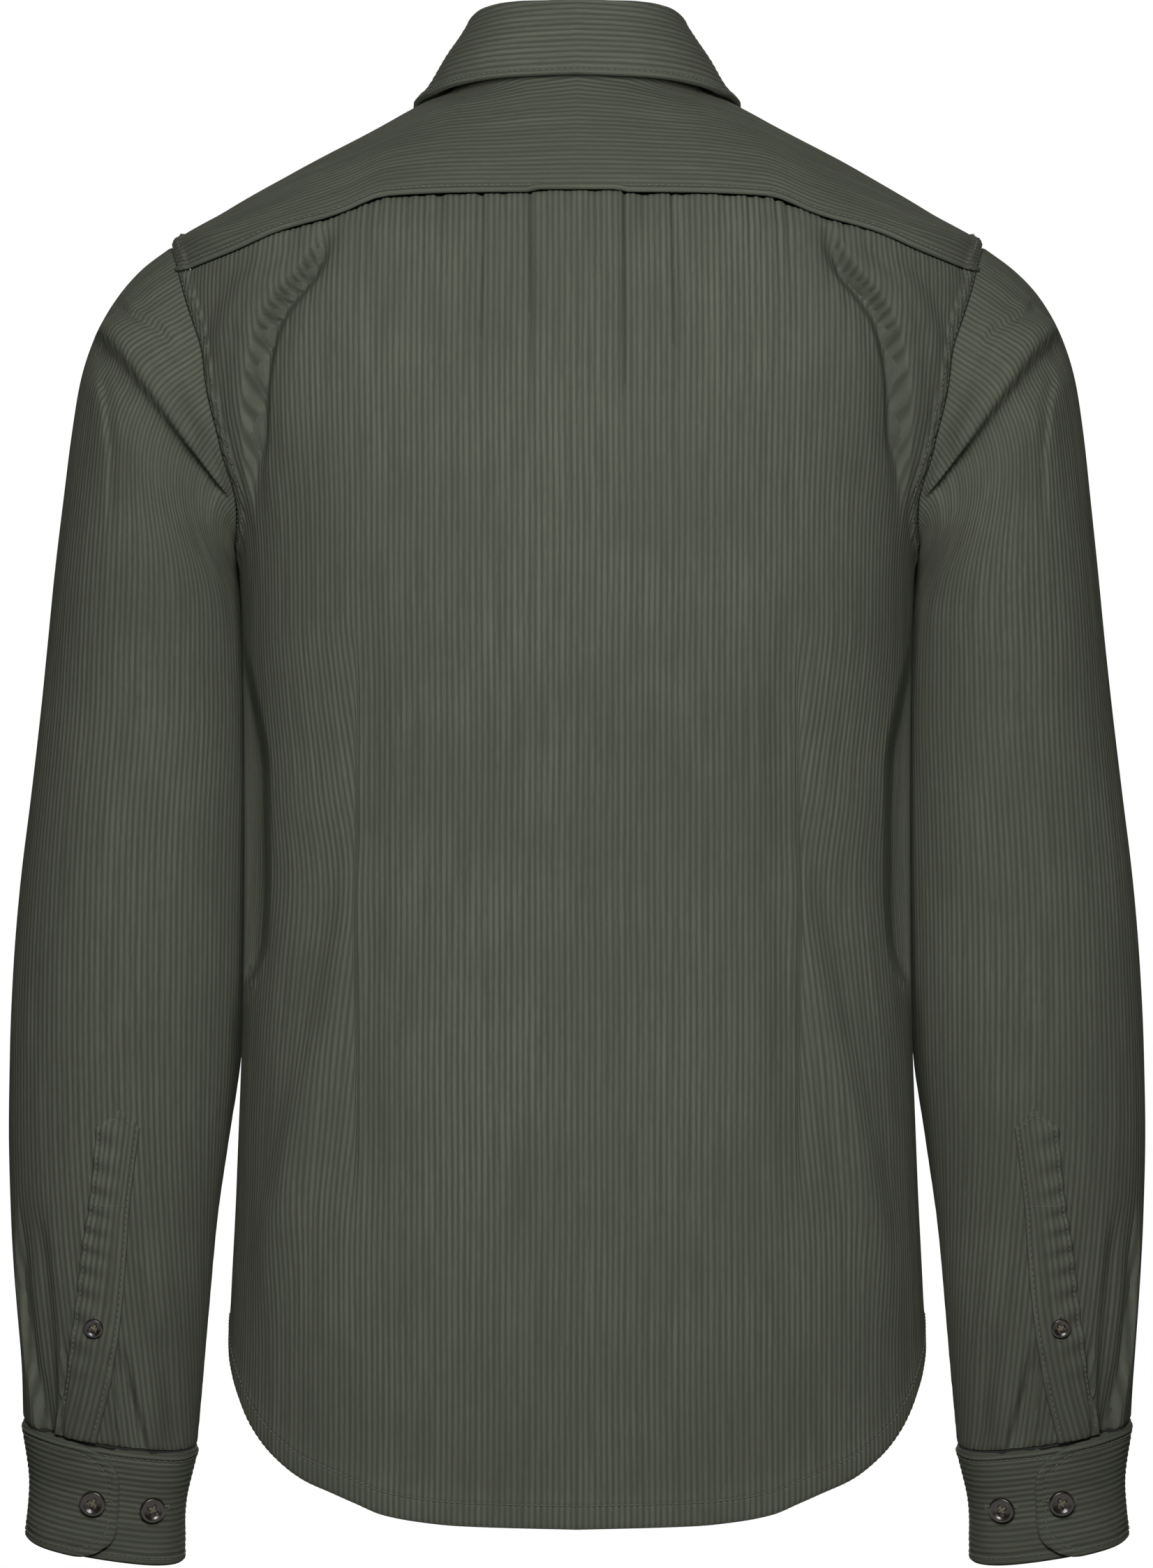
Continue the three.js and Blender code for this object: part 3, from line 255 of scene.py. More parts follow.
body = curves(BODY, "z")
sleeve_size = curves(SLEEVE, "row")
roll_line = curves(ROLL, "angle")
leaf_line = curves(LEAF_EDGE, "angle")
yoke_back_z = smooth(YOKE_BACK["x"], YOKE_BACK["z"])
yoke_front_z = smooth(YOKE_FRONT["x"], YOKE_FRONT["z"])
flank_edge = smooth(FLANK["z"], FLANK["x"])
hem_back_z = smooth(HEM_BACK["share"], HEM_BACK["z"])
hem_front_z = smooth(HEM_FRONT["share"], HEM_FRONT["z"])


def ease(v, start, end):
    """0 up to `start`, 1 past `end`, and smooth between."""
    t = np.clip((v - start) / (end - start), 0, 1)
    return t * t * (3 - 2 * t)


def bump(v, reach):
    """1 at 0, falling smoothly to 0 at `reach` to each side."""
    return np.cos(np.pi / 2 * np.clip(np.abs(v) / reach, 0, 1)) ** 2


def power(v, exponent):
    return np.sign(v) * np.abs(v) ** exponent


def lengths(vectors):
    return np.sqrt((vectors * vectors).sum(-1))


def unit(vectors):
    return vectors / np.maximum(lengths(vectors), 1e-9)[..., None]


def points(x, y, z):
    return np.stack(np.broadcast_arrays(x, y, z), -1).astype(float)


def lookup(grid, i, j):
    """A value between the cells of a grid, at fractional row i and column j."""
    i = np.clip(i, 0, grid.shape[0] - 1.000001)
    j = np.clip(j, 0, grid.shape[1] - 1.000001)
    a, b = i.astype(int), j.astype(int)
    s, t = i - a, j - b
    if grid.ndim > 2:
        s, t = s[..., None], t[..., None]
    near = grid[a, b] * (1 - s) + grid[a + 1, b] * s
    far = grid[a, b + 1] * (1 - s) + grid[a + 1, b + 1] * s
    return near * (1 - t) + far * t


class Arc:
    """Measures along the cloth round a stack of sections: from a distance to an angle, and back."""

    STEPS = 720

    def __init__(self, low, high, count, end_angle, point):
        self.low, self.per = low, (count - 1) / (high - low)
        self.end_angle = end_angle
        steps = np.linspace(0, end_angle, self.STEPS + 1)
        value, angle = np.meshgrid(np.linspace(low, high, count), steps, indexing="ij")
        step = lengths(np.diff(point(value, angle), axis=1))
        self.along = np.concatenate([np.zeros((count, 1)), np.cumsum(step, axis=1)], axis=1)
        self.full = self.along[:, -1]
        share = np.linspace(0, 1, self.STEPS + 1)
        self.angles = np.array([np.interp(share * row[-1], row, angle[0]) for row in self.along])

    def length(self, value):
        row = (np.asarray(value, float) - self.low) * self.per
        return np.interp(row, np.arange(len(self.full)), self.full)

    def angle_at(self, value, distance):
        share = np.abs(distance) / self.length(value)
        return lookup(self.angles, (value - self.low) * self.per, share * self.STEPS)

    def distance_at(self, value, angle):
        return lookup(self.along, (value - self.low) * self.per, angle / self.end_angle * self.STEPS)


def ring_point(z, angle):
    """The body at a height and an angle from the centre back."""
    c, s = np.cos(angle), np.sin(angle)
    behind = c > 0
    exponent = 2 / np.where(behind, body["square_back"](z), body["square_front"](z))
    depth = np.where(behind, body["back"](z), body["front"](z))
    return points(body["side"](z) * power(s, exponent), depth * power(c, exponent), z)


ring = Arc(-741, 15, 379, math.pi, ring_point)


def on_ring(z, distance):
    """The body at a height and a distance from the centre back, towards +X if it is positive."""
    p = ring_point(z, ring.angle_at(z, distance))
    p[..., 0] *= np.where(distance < 0, -1, 1)
    return p


def depth_distance(z, y):
    """The distance round from the centre back at which the body's depth falls to y."""
    n = np.where(y > 0, body["square_back"](z), body["square_front"](z))
    depth = np.where(y > 0, body["back"](z), body["front"](z))
    return ring.distance_at(z, np.arccos(np.clip(power(y / depth, n / 2), -1, 1)))


def body_level(p):
    """1 on the body, less inside it and more outside."""
    x, y, z = p[..., 0], p[..., 1], p[..., 2]
    n = np.where(y > 0, body["square_back"](z), body["square_front"](z))
    depth = np.where(y > 0, body["back"](z), body["front"](z))
    return (np.abs(x) / body["side"](z)) ** n + (np.abs(y) / depth) ** n


def body_out(p):
    """The direction out of the body."""
    steps = np.eye(3) * 0.5
    return unit(np.stack([body_level(p + step) - body_level(p - step) for step in steps], -1))


def body_height(x, y):
    """The height of the body's upper side over a point of the plan."""
    low, high = np.full(np.shape(x), -112.0), np.full(np.shape(x), 16.0)
    for _ in range(26):
        middle = (low + high) / 2
        inside = body_level(points(x, y, middle)) < 1
        low, high = np.where(inside, middle, low), np.where(inside, high, middle)
    return (low + high) / 2


def half_width_at(y, z):
    n = np.where(y > 0, body["square_back"](z), body["square_front"](z))
    depth = np.where(y > 0, body["back"](z), body["front"](z))
    return body["side"](z) * np.maximum(0, 1 - (np.abs(y) / depth) ** n) ** (1 / n)


def beside(line, x, z):
    """How far a place lies from a line of points, signed by its side, and how far along it, from 0 to 1."""
    near, along = np.full(np.shape(x), 1e9), np.zeros(np.shape(x))
    for i, ((ax, az), (bx, bz)) in enumerate(zip(line, line[1:])):
        dx, dz = bx - ax, bz - az
        t = np.clip(((x - ax) * dx + (z - az) * dz) / (dx * dx + dz * dz), 0, 1)
        ox, oz = x - ax - t * dx, z - az - t * dz
        off = np.hypot(ox, oz)
        closer = off < np.abs(near)
        near = np.where(closer, np.where(dx * oz - dz * ox < 0, -off, off), near)
        along = np.where(closer, (i + t) / (len(line) - 1), along)
    return near, along


def fold_height(folds, x, z, on):
    """How much a table of folds raises the cloth at a place."""
    height = np.zeros(np.shape(x))
    for fold in folds:
        off, along = beside(fold["line"], x, z)
        ends = ease(along, 0, 0.2) * ease(1 - along, 0, 0.2)
        height += np.where(on == fold["on"], fold["height"] * ends * bump(off, fold["reach"]), 0)
    return height


def crease_height(creases, x, z, on):
    """The lips and hollows of a table of creases at a place."""
    height = np.zeros(np.shape(x))
    for crease in creases:
        near = (on == crease["on"]) & (np.abs(x - np.mean([p[0] for p in crease["line"]])) < 90)
        if not near.any():
            continue
        off, along = beside(crease["line"], x[near], z[near])
        off = -off * crease["raised"]
        ends = ease(along, 0, 0.22) * ease(1 - along, 0, 0.22)
        lip = crease["lip"] * ease(off, -crease["reach"], 0) * (1 - ease(off, 0, crease["drop"]))
        rising = 1 - ease(off, crease["drop"], crease["reach"])
        sunk = crease["sunk"] * ease(off, 0, crease["drop"]) * rising
        height[near] += ends * (lip - sunk)
    return height


def pleat_height(x, z):
    opened = 1 - ease(-z, -PLEAT["top"] + 30, -PLEAT["gone"])
    lip = PLEAT["lip"] / 2
    return PLEAT["height"] * opened * (1 - ease(np.abs(x), PLEAT["half"] - lip, PLEAT["half"] + lip))


def dressed(p, extra=0.0, folds=BODY_FOLDS):
    """A point of the body with its folds, and the direction out of the cloth there."""
    out = body_out(p)
    x, y, z = p[..., 0], p[..., 1], p[..., 2]
    on = np.where(y > 0, 1, -1)
    height = extra + fold_height(folds, np.abs(x), z, on) * ease(np.abs(y), 0, 18)
    height = height + crease_height(BODY_CREASES, np.abs(x), z, on) * ease(np.abs(y), 0, 30)
    height = height + np.where((on > 0) & (z < PLEAT["top"]), pleat_height(x, z), 0)
    hollow = FLANK_DEEP * ease(np.abs(x) - flank_edge(z), 0, 7) * ease(y, 0, 60)
    return p + out * height[..., None] - points(0, hollow, 0), out


def armhole_depth(z, on):
    share = np.abs((2 * z - ARMHOLE["top"] - ARMHOLE["bottom"]) / (ARMHOLE["top"] - ARMHOLE["bottom"]))
    depth = ARMHOLE["back"] if on > 0 else ARMHOLE["front"]
    return depth * np.maximum(0, 1 - share ** ARMHOLE["square"]) ** (1 / ARMHOLE["square"])


def side_edge(z, on):
    """Where a panel's side edge runs: down the armhole, then down the side seam."""
    return depth_distance(z, on * armhole_depth(z, on)) - on * SEAM / 2


def armhole_point(angle):
    """The armhole's curve on the body, by the angle from its top towards the back."""
    exponent = 2 / ARMHOLE["square"]
    middle, half = (ARMHOLE["top"] + ARMHOLE["bottom"]) / 2, (ARMHOLE["top"] - ARMHOLE["bottom"]) / 2
    z = middle + half * power(np.cos(angle), exponent)
    s = power(np.sin(angle), exponent)
    y = np.where(s > 0, ARMHOLE["back"], ARMHOLE["front"]) * s
    return dressed(points(half_width_at(y, z), y, z))[0]


ARMHOLE_LINE = armhole_point(np.linspace(0, 2 * math.pi, 361))


def from_armhole(p):
    """The distance of points of the body from the nearest armhole edge."""
    q = np.stack([np.abs(p[..., 0]), p[..., 1], p[..., 2]], -1).reshape(-1, 3)
    near = np.full(len(q), 99.0)
    close = np.flatnonzero(q[:, 0] > 120)
    for part in np.array_split(close, max(1, len(close) // 4000)):
        apart = q[part][:, None] - ARMHOLE_LINE[None, ::2]
        near[part] = np.sqrt((apart * apart).sum(-1).min(-1))
    return near.reshape(p.shape[:-1])


def felled(edge, p):
    """The height of the felled seam beside an armhole, puckered along its stitches."""
    run = 2 * p[..., 2] + 3 * p[..., 1]
    pucker = 0.3 * np.sin(run / 4.3 + 2 * np.sin(run / 23)) * bump(edge - ARMHOLE_BAND + 3, 5)
    return 1.5 * (1 - ease(edge, ARMHOLE_BAND - 1.6, ARMHOLE_BAND + 0.3)) + pucker


def neckline(angle):
    x = NECK["side"] * np.sin(angle)
    c = np.cos(angle)
    y = np.where(c > 0, NECK["back"], NECK["front"]) * c
    return points(x, y, body_height(x, y))


def uneven(p, seed, size=0.8):
    """Small slow unevenness of hanging cloth."""
    wave = np.random.default_rng(seed)
    total = np.zeros(p.shape[:-1])
    for span in (210, 150, 110, 80, 60, 45):
        direction = unit(wave.normal(size=3) * np.array([1.3, 1, 0.55]))
        total += np.sin(p @ direction * (2 * math.pi / span) + wave.uniform(0, 6.3)) * (span / 210) ** 0.7
    return total * size / 2.4


def zip_rows(a, b, at_a, at_b):
    """Triangles between two chains of points that run the same way, the first below the second."""
    faces, i, j = [], 0, 0
    while i + 1 < len(a) or j + 1 < len(b):
        if j + 1 == len(b) or (i + 1 < len(a) and at_a[i + 1] <= at_b[j + 1]):
            faces.append((a[i], a[i + 1], b[j]))
            i += 1
        else:
            faces.append((a[i], b[j + 1], b[j]))
            j += 1
    return faces


class Skin:
    """One side of a piece: rows of points across its ribs, each from its own low to its own high edge."""

    def __init__(self, rows, low, high, step):
        self.rows = rows
        first = np.ceil(low / step + 0.3).astype(int)
        last = np.maximum(np.floor(high / step - 0.3).astype(int), first - 1)
        self.across, self.row, self.starts = [], [], [0]
        for value, a, b, k0, k1 in zip(range(len(rows)), low, high, first, last):
            places = np.concatenate([[a], np.arange(k0, k1 + 1) * step, [b]])
            self.across.append(places)
            self.row.append(np.full(len(places), value))
            self.starts.append(self.starts[-1] + len(places))
        self.first, self.last = first, last
        self.at = np.concatenate(self.across)
        self.number = np.concatenate(self.row)
        self.low_of, self.high_of = low[self.number], high[self.number]

    def faces(self):
        made = []
        for j in range(len(self.rows) - 1):
            a0, b0 = self.starts[j], self.starts[j + 1]
            a1, b1 = b0, self.starts[j + 2]
            k0, k1 = max(self.first[j], self.first[j + 1]), min(self.last[j], self.last[j + 1])
            if k1 <= k0:
                made.append(np.array(zip_rows(range(a0, a1), range(b0, b1), self.at[a0:a1], self.at[b0:b1])))
                continue
            k = np.arange(k0, k1)
            a, b = a0 + 1 + k - self.first[j], b0 + 1 + k - self.first[j + 1]
            made.append(np.stack([a, a + 1, b + 1], -1))
            made.append(np.stack([a, b + 1, b], -1))
            for span_a, span_b in (((a0, a[0] + 1), (b0, b[0] + 1)), ((a[-1] + 1, a1), (b[-1] + 1, b1))):
                at_a, at_b = self.at[slice(*span_a)], self.at[slice(*span_b)]
                ends = zip_rows(range(*span_a), range(*span_b), at_a, at_b)
                if ends:
                    made.append(np.array(ends))
        return np.concatenate(made)

    def border(self):
        """The four sides as chains of points: first row, last row, low ends, high ends."""
        starts, ends = np.array(self.starts[:-1]), np.array(self.starts[1:]) - 1
        return [np.arange(starts[0], ends[0] + 1), np.arange(starts[-1], ends[-1] + 1), starts, ends]


def rib_shape(across):
    phase = across / RIB - np.floor(across / RIB)
    return 1 - np.abs(2 * phase - 1) ** RIB_FLATNESS


def rounded_steps(length, step, fine=(0.6, 1.5, 3), marks=(), zone=None):
    """Distances along a length: even steps, finer ones at both ends, some beside each mark, and the smaller
    steps of a zone, given as its start, end and step."""
    wanted = [0, length, *fine, *[length - f for f in fine]]
    for mark in marks:
        wanted += [mark - 2.2, mark - 0.9, mark, mark + 0.9, mark + 2.2]
    if zone:
        wanted += list(np.arange(zone[0], zone[1], zone[2]))
    wanted = sorted(w for w in wanted if 0 <= w <= length)
    kept = [wanted[0]]
    for w in wanted[1:]:
        gap = w - kept[-1]
        if gap < 0.35:
            continue
        kept += list(np.linspace(kept[-1], w, math.ceil(gap / step) + 1)[1:])
    return np.array(kept)


def mesh_piece(name, verts, faces, attributes, mirror=False, sharp=80):
    """A mesh object from points in millimetres."""
    verts = np.asarray(verts, float) * MM
    faces = np.asarray(faces, int)
    if mirror:
        verts = verts * np.array([-1, 1, 1])
    p, q, r = verts[faces[:, 0]], verts[faces[:, 1]], verts[faces[:, 2]]
    if (np.cross(p, q) * r).sum() < 0:
        faces = faces[:, ::-1]
    mesh = bpy.data.meshes.new(name)
    mesh.vertices.add(len(verts))
    mesh.vertices.foreach_set("co", verts.astype(np.float32).ravel())
    mesh.loops.add(faces.size)
    mesh.loops.foreach_set("vertex_index", faces.astype(np.int32).ravel())
    mesh.polygons.add(len(faces))
    mesh.polygons.foreach_set("loop_start", np.arange(len(faces), dtype=np.int32) * 3)
    mesh.polygons.foreach_set("use_smooth", np.ones(len(faces), bool))
    mesh.update(calc_edges=True)
    mesh.validate()
    for key, values in attributes.items():
        kind = "FLOAT_VECTOR" if np.ndim(values) == 2 else "FLOAT"
        field = "vector" if np.ndim(values) == 2 else "value"
        attribute = mesh.attributes.new(key, kind, "POINT")
        attribute.data.foreach_set(field, np.asarray(values, np.float32).ravel())
    mesh.set_sharp_from_angle(angle=math.radians(sharp))
    piece = bpy.data.objects.new(name, mesh)
    bpy.context.scene.collection.objects.link(piece)
    return piece


def ribbed(name, rows, low, high, place, thickness, along,
           ends=None, grooves=(), mirror=False, seed=1, lining_step=2):
    """A closed piece of corduroy.

    rows are the places of its rows along the ribs, low and high its edges across them, and along says how many
    mm each row lies along. place(row, across) gives points and directions out.
    """
    rng = np.random.default_rng(seed)
    shift = rng.uniform(0, 6.3, 4)

    def laid(chosen, step, ribs):
        skin = Skin(rows[chosen], low[chosen], high[chosen], step)
        value, s, length = rows[chosen][skin.number], skin.at, along[chosen][skin.number]
        inside = np.minimum(s - skin.low_of, skin.high_of - s)
        stray = 0.22 * np.sin(length / 47 + s / 31 + shift[0])
        stray += 0.13 * np.sin(length / 19 - s / 57 + shift[1])
        p, out = place(value, s + stray * ease(inside, 0, 4))
        if not ribs:
            return skin, p, out, np.full(len(s), 0.5), s, length
        rib = rib_shape(s)
        worn = 1 + 0.1 * np.sin(length / 61 + s * 1.7 + shift[2])
        height = RIB_SEAT + RIB_HEIGHT * rib * worn
        edge = inside
        if ends is not None:
            edge = np.minimum(inside, np.minimum(ends[0][skin.number], ends[1][skin.number]))
        height -= EDGE_ROLL * (1 - ease(edge, 0, 1.7))
        for groove in grooves:
            height -= groove["depth"] * np.exp(-(groove["off"](value, s, length, p) / 0.8) ** 2)
        return skin, p + out * height[:, None], out, rib, s, length

    everything = np.arange(len(rows))
    coarse = np.unique(np.append(np.arange(0, len(rows), lining_step), len(rows) - 1))
    face, p, out, rib, s, length = laid(everything, RIB / RIB_POINTS, True)
    lining, q, inward, flat_rib, s2, length2 = laid(coarse, RIB * 2, False)
    verts = np.concatenate([p, q - inward * thickness])
    faces = [face.faces(), lining.faces()[:, ::-1] + len(p)]
    for side, (a, b) in enumerate(zip(face.border(), lining.border())):
        at_a, at_b = face.at[a], lining.at[b]
        if side >= 2:
            at_a, at_b = along[face.number[a]], along[coarse][lining.number[b]]
        rim = np.array(zip_rows(a, b + len(p), at_a, at_b))
        faces.append(rim[:, ::-1] if side in (0, 3) else rim)
    off, down = np.concatenate([s, s2]), np.concatenate([length, length2])
    cord = np.stack([off, down, np.zeros(len(verts))], -1) * MM
    width = high - low
    area = ((width[1:] + width[:-1]) / 2 * np.diff(along)).sum()
    {"flat": (width.max() * MM, (along[-1] - along[0]) * MM), "area": area * MM * MM}
    attributes = {"rib": np.concatenate([rib, flat_rib]), "cord": cord}
    return mesh_piece(name, verts, np.concatenate(faces), attributes, mirror)


# Body panels

FULL_AT_HEM = float(depth_distance(np.array([-690.0]), np.array([0.0]))[0])
HALF_AT_HEM = float(ring.length(-690))


def back_seam_z(s):
    """The height of the seam between back and yoke at a distance from the centre back."""
    z = np.full(np.shape(s), -60.0)
    for _ in range(40):
        z = 0.4 * z + 0.6 * yoke_back_z(np.abs(on_ring(z, s)[..., 0]))
    return z


def front_reach(z, x):
    """The distance round from the centre front to a half width, on the front of the body."""
    n = body["square_front"](z)
    c = np.maximum(0, 1 - (np.abs(x) / body["side"](z)) ** n) ** (1 / n)
    angle = math.pi - np.arccos(np.clip(c ** (n / 2), 0, 1))
    return ring.length(z) - ring.distance_at(z, angle)


def on_front(x, z):
    n = body["square_front"](z)
    return points(x, -body["front"](z) * np.maximum(0, 1 - (np.abs(x) / body["side"](z)) ** n) ** (1 / n), z)


def yoke_corner():
    """The angle round the neck at which the neckline meets the seam between yoke and front."""
    low, high = math.pi / 2, math.pi
    for _ in range(30):
        middle = (low + high) / 2
        p = neckline(np.array([middle]))[0]
        if p[2] > yoke_front_z(p[0]):
            low = middle
        else:
            high = middle
    return low


YOKE_CORNER = yoke_corner()


def front_seam_end():
    z = np.array([-90.0])
    for _ in range(40):
        z = 0.4 * z + 0.6 * yoke_front_z(on_ring(z, side_edge(z, -1))[..., 0])
    return float(on_ring(z, side_edge(z, -1))[0, 0])


YOKE_FRONT_END = front_seam_end()
YOKE_CORNER_X = float(neckline(np.array([YOKE_CORNER]))[0, 0])


def yoke_front_line(share):
    x = YOKE_CORNER_X + (YOKE_FRONT_END - YOKE_CORNER_X) * share
    return on_front(x, yoke_front_z(x))


def front_top():
    """The top edge of a front: heights against distance from the centre front."""
    angles = np.linspace(math.pi + math.asin(FRONT_LAP / NECK["side"]), YOKE_CORNER, 60)
    edge = np.concatenate([neckline(angles), yoke_front_line(np.linspace(0, 1, 70)[1:])])
    reach = front_reach(edge[:, 2], edge[:, 0]) * np.where(edge[:, 0] < 0, -1, 1)
    return reach, edge[:, 2] - SEAM


FRONT_TOP = front_top()


class Panel:
    """The back or a front: rows follow the hem low down and the top seam high up."""

    def __init__(self, on, hand=0):
        self.on, self.hand = on, hand
        centre = np.array([0.0])
        self.length = float(self.top(centre)[0] - self.hem(centre)[0])

    def hem(self, s):
        if self.on > 0:
            return hem_back_z(np.abs(s) / FULL_AT_HEM)
        return hem_front_z(np.clip(s / (HALF_AT_HEM - FULL_AT_HEM), 0, 1))

    def top(self, s):
        return back_seam_z(s) - SEAM if self.on > 0 else np.interp(s, *FRONT_TOP)

    def height(self, u, s):
        hem = self.hem(s)
        spare = self.top(s) - hem - self.length
        return hem + u + spare * ease(u / self.length, 0.03, 0.97)

    def take(self, u):
        return dart_take(-724.5 + u) if self.on > 0 else np.zeros(len(u))

    def worn(self, u, s):
        """Where a place of the cut cloth lies once the darts are sewn, and how deep it lies in a dart."""
        if self.on < 0:
            return s, np.zeros(len(s))
        take, off = self.take(u), np.abs(s) - DART["off"]
        narrow = DART["line"] / (take + DART["line"])
        placed = np.where(off <= 0, off, np.where(off < take + DART["line"], off * narrow, off - take))
        sunk = DART["deep"] * ease(take, 0.2, 4) * bump(placed - DART["line"] / 2, DART["line"])
        return np.sign(s) * (placed + DART["off"]), sunk

    def edge(self, u):
        """How far the side edge lies from the panel's centre line in each row, on the cut cloth."""
        s = np.full(len(u), 200.0)
        for _ in range(60):
            z = self.height(u, s)
            wanted = side_edge(z, self.on) if self.on > 0 else ring.length(z) - side_edge(z, -1)
            s = 0.5 * s + 0.5 * wanted
        return s + self.take(u)

    def surface(self, u, s):
        s, sunk = self.worn(u, s)
        z = self.height(u, s)
        if self.on > 0:
            p = on_ring(z, s)
            extra = uneven(p, 5)
            sunk = sunk + tuck_depth(s, self.length - u)
        else:
            p = on_ring(z, (ring.length(z) - np.abs(s)) * np.where(s < 0, -self.hand, self.hand))
            extra = uneven(p, 6 + self.hand, 0.6) * ease(s, -20, 60)
            if self.hand < 0:
                extra = extra - FRONT_EDGE_SINK * (1 - ease(s, 22, 48))
        seam = np.minimum(u, self.length - u)
        edge = from_armhole(p)
        extra = extra * ease(seam, 0, 40) * ease(edge, 0, 30) * ease(np.abs(p[..., 1]), 10, 55)
        band = felled(edge, p)
        turned = 0.6 * (1 - ease(u, HEM_TURN, HEM_TURN + 1.6))
        p, out = dressed(p, extra)
        return p + out * (band + turned - sunk)[..., None], out


def dart_take(z):
    return smooth(DART_TAKE["z"], DART_TAKE["take"])(z)


def tucks():
    """Small puckers that hang from the yoke seam: place, depth, width and length."""
    rng = np.random.default_rng(77)
    made = [(hand * off, 1.1, 2, 190) for hand in (1, -1) for off in (23.5, 48)]
    for _ in range(60):
        made.append((rng.uniform(-150, 150), rng.uniform(0.3, 0.9), rng.uniform(2, 5.5), rng.uniform(16, 90)))
    return made


TUCKS = tucks()


def tuck_depth(s, below):
    depth = np.zeros(len(s))
    for place, deep, wide, long in TUCKS:
        depth += deep * bump(s - place, wide) * (1 - ease(below, long * 0.2, long))
    return depth


def hem_groove(value, s, length, p):
    return value - HEM_TURN + 1.2


def armhole_groove(near):
    return lambda value, s, length, p: from_armhole(p) - near


ARMHOLE_STITCHES = (1.7, ARMHOLE_BAND - 2.2)
ARMHOLE_GROOVES = [{"depth": 0.7, "off": armhole_groove(inset)} for inset in ARMHOLE_STITCHES]


def body_panel(name, panel, seed):
    fine_top = (panel.length - 122, panel.length - 8, 2)
    u = rounded_steps(panel.length, 7.8, marks=(HEM_TURN - 1.2,), zone=fine_top)
    edge = panel.edge(u)
    low = -edge if panel.on > 0 else np.full(len(u), -float(FRONT_LAP))
    return ribbed(name, u, low, edge, panel.surface, CLOTH, u, ends=(u, panel.length - u), seed=seed,
                  grooves=[{"depth": 0.5, "off": hem_groove}, *ARMHOLE_GROOVES])


back_panel = Panel(1)
front_panels = {"left": Panel(-1, 1), "right": Panel(-1, -1)}


# Yoke

class Yoke:
    """Columns of the yoke run from the back seam over the shoulder, and its ribs run across them."""

    NECK_SHARE = 0.31  # this share of the seam lies under the neckline
    STEPS = 160

    def __init__(self):
        self.shares = np.linspace(0, 1, 161)
        full = self.full_width()
        seam_s = self.shares * full
        low = on_ring(back_seam_z(seam_s), seam_s)
        under = (self.shares - self.NECK_SHARE) / (1 - self.NECK_SHARE)
        neck = neckline(YOKE_CORNER * np.clip(self.shares / self.NECK_SHARE, 0, 1))
        front = yoke_front_line(np.clip(under, 0, 1))
        high = np.where((under > 0)[:, None], front, neck)
        t = np.linspace(0, 1, self.STEPS + 1)
        y = low[:, None, 1] + (high - low)[:, None, 1] * t
        x = low[:, None, 0] + (high - low)[:, None, 0] * t
        bulge = self.armhole_over(y[-1]) - x[-1]
        x = x + bulge * np.clip(under, 0, 1)[:, None] ** 4
        z = body_height(x, y)
        self.plan = np.stack([x, y], -1)
        step = lengths(np.diff(points(x, y, z), axis=1))
        self.along = np.concatenate([np.zeros((len(step), 1)), np.cumsum(step, axis=1)], axis=1)

    @staticmethod
    def full_width():
        s = np.array([200.0])
        for _ in range(60):
            s = 0.5 * s + 0.5 * side_edge(back_seam_z(s), 1)
        return float(s[0])

    @staticmethod
    def armhole_over(y):
        deep = np.abs(y) / np.where(y > 0, ARMHOLE["back"], ARMHOLE["front"])
        half = (ARMHOLE["top"] - ARMHOLE["bottom"]) / 2
        square = ARMHOLE["square"]
        z = ARMHOLE["bottom"] + half + half * np.maximum(0, 1 - deep ** square) ** (1 / square)
        return half_width_at(y, z)

    def length(self, share):
        return np.interp(np.abs(share), self.shares, self.along[:, -1])

    def surface(self, share, w):
        i = np.abs(share) * (len(self.shares) - 1)
        a = np.clip(i.astype(int), 0, len(self.shares) - 2)
        full = self.along[:, -1]
        t = np.empty(len(i))
        for row in np.unique(a):
            here = a == row
            part, steps = w[here] / self.length(share[here]), np.arange(self.STEPS + 1)
            for_low = np.interp(part * full[row], self.along[row], steps)
            for_high = np.interp(part * full[row + 1], self.along[row + 1], steps)
            mix = (i - a)[here]
            t[here] = for_low * (1 - mix) + for_high * mix
        plan = lookup(self.plan, i, t)
        x, y = plan[..., 0] * np.where(share < 0, -1, 1), plan[..., 1]
        p = points(x, y, body_height(x, y))
        edge = from_armhole(p)
        full_here = self.length(share)
        extra = uneven(p, 9, 0.5) * ease(np.minimum(w, full_here - w), 0, 25) * ease(edge, 0, 25)
        extra = extra + felled(edge, p)
        extra = extra + 1.3 * (1 - ease(w, 2.2, YOKE_EDGE))
        p, out = dressed(p, extra)
        return p, out


yoke_pattern = Yoke()


def yoke_rows():
    full = yoke_pattern.full_width()
    s = rounded_steps(full, 3.6, fine=(0.6, 1.5, 3, 4.5, 6, 7, 7.8, 8.6, 9.4, 11))
    s = s[(s > 12) | (s == 0)]
    half = np.minimum(s / full, 1)
    return np.concatenate([-half[:0:-1], half]), full


def make_yoke():
    shares, full = yoke_rows()
    high = yoke_pattern.length(shares) - SEAM / 2
    edge = full * (1 - np.abs(shares))
    grooves = [{"depth": 0.7, "off": lambda value, s, length, p: s - YOKE_STITCH}, *ARMHOLE_GROOVES]
    return ribbed("yoke_cloth", shares, np.full(len(shares), SEAM / 2), high, yoke_pattern.surface, CLOTH,
                  shares * full, ends=(edge, edge), grooves=grooves, seed=21)


# Sleeves

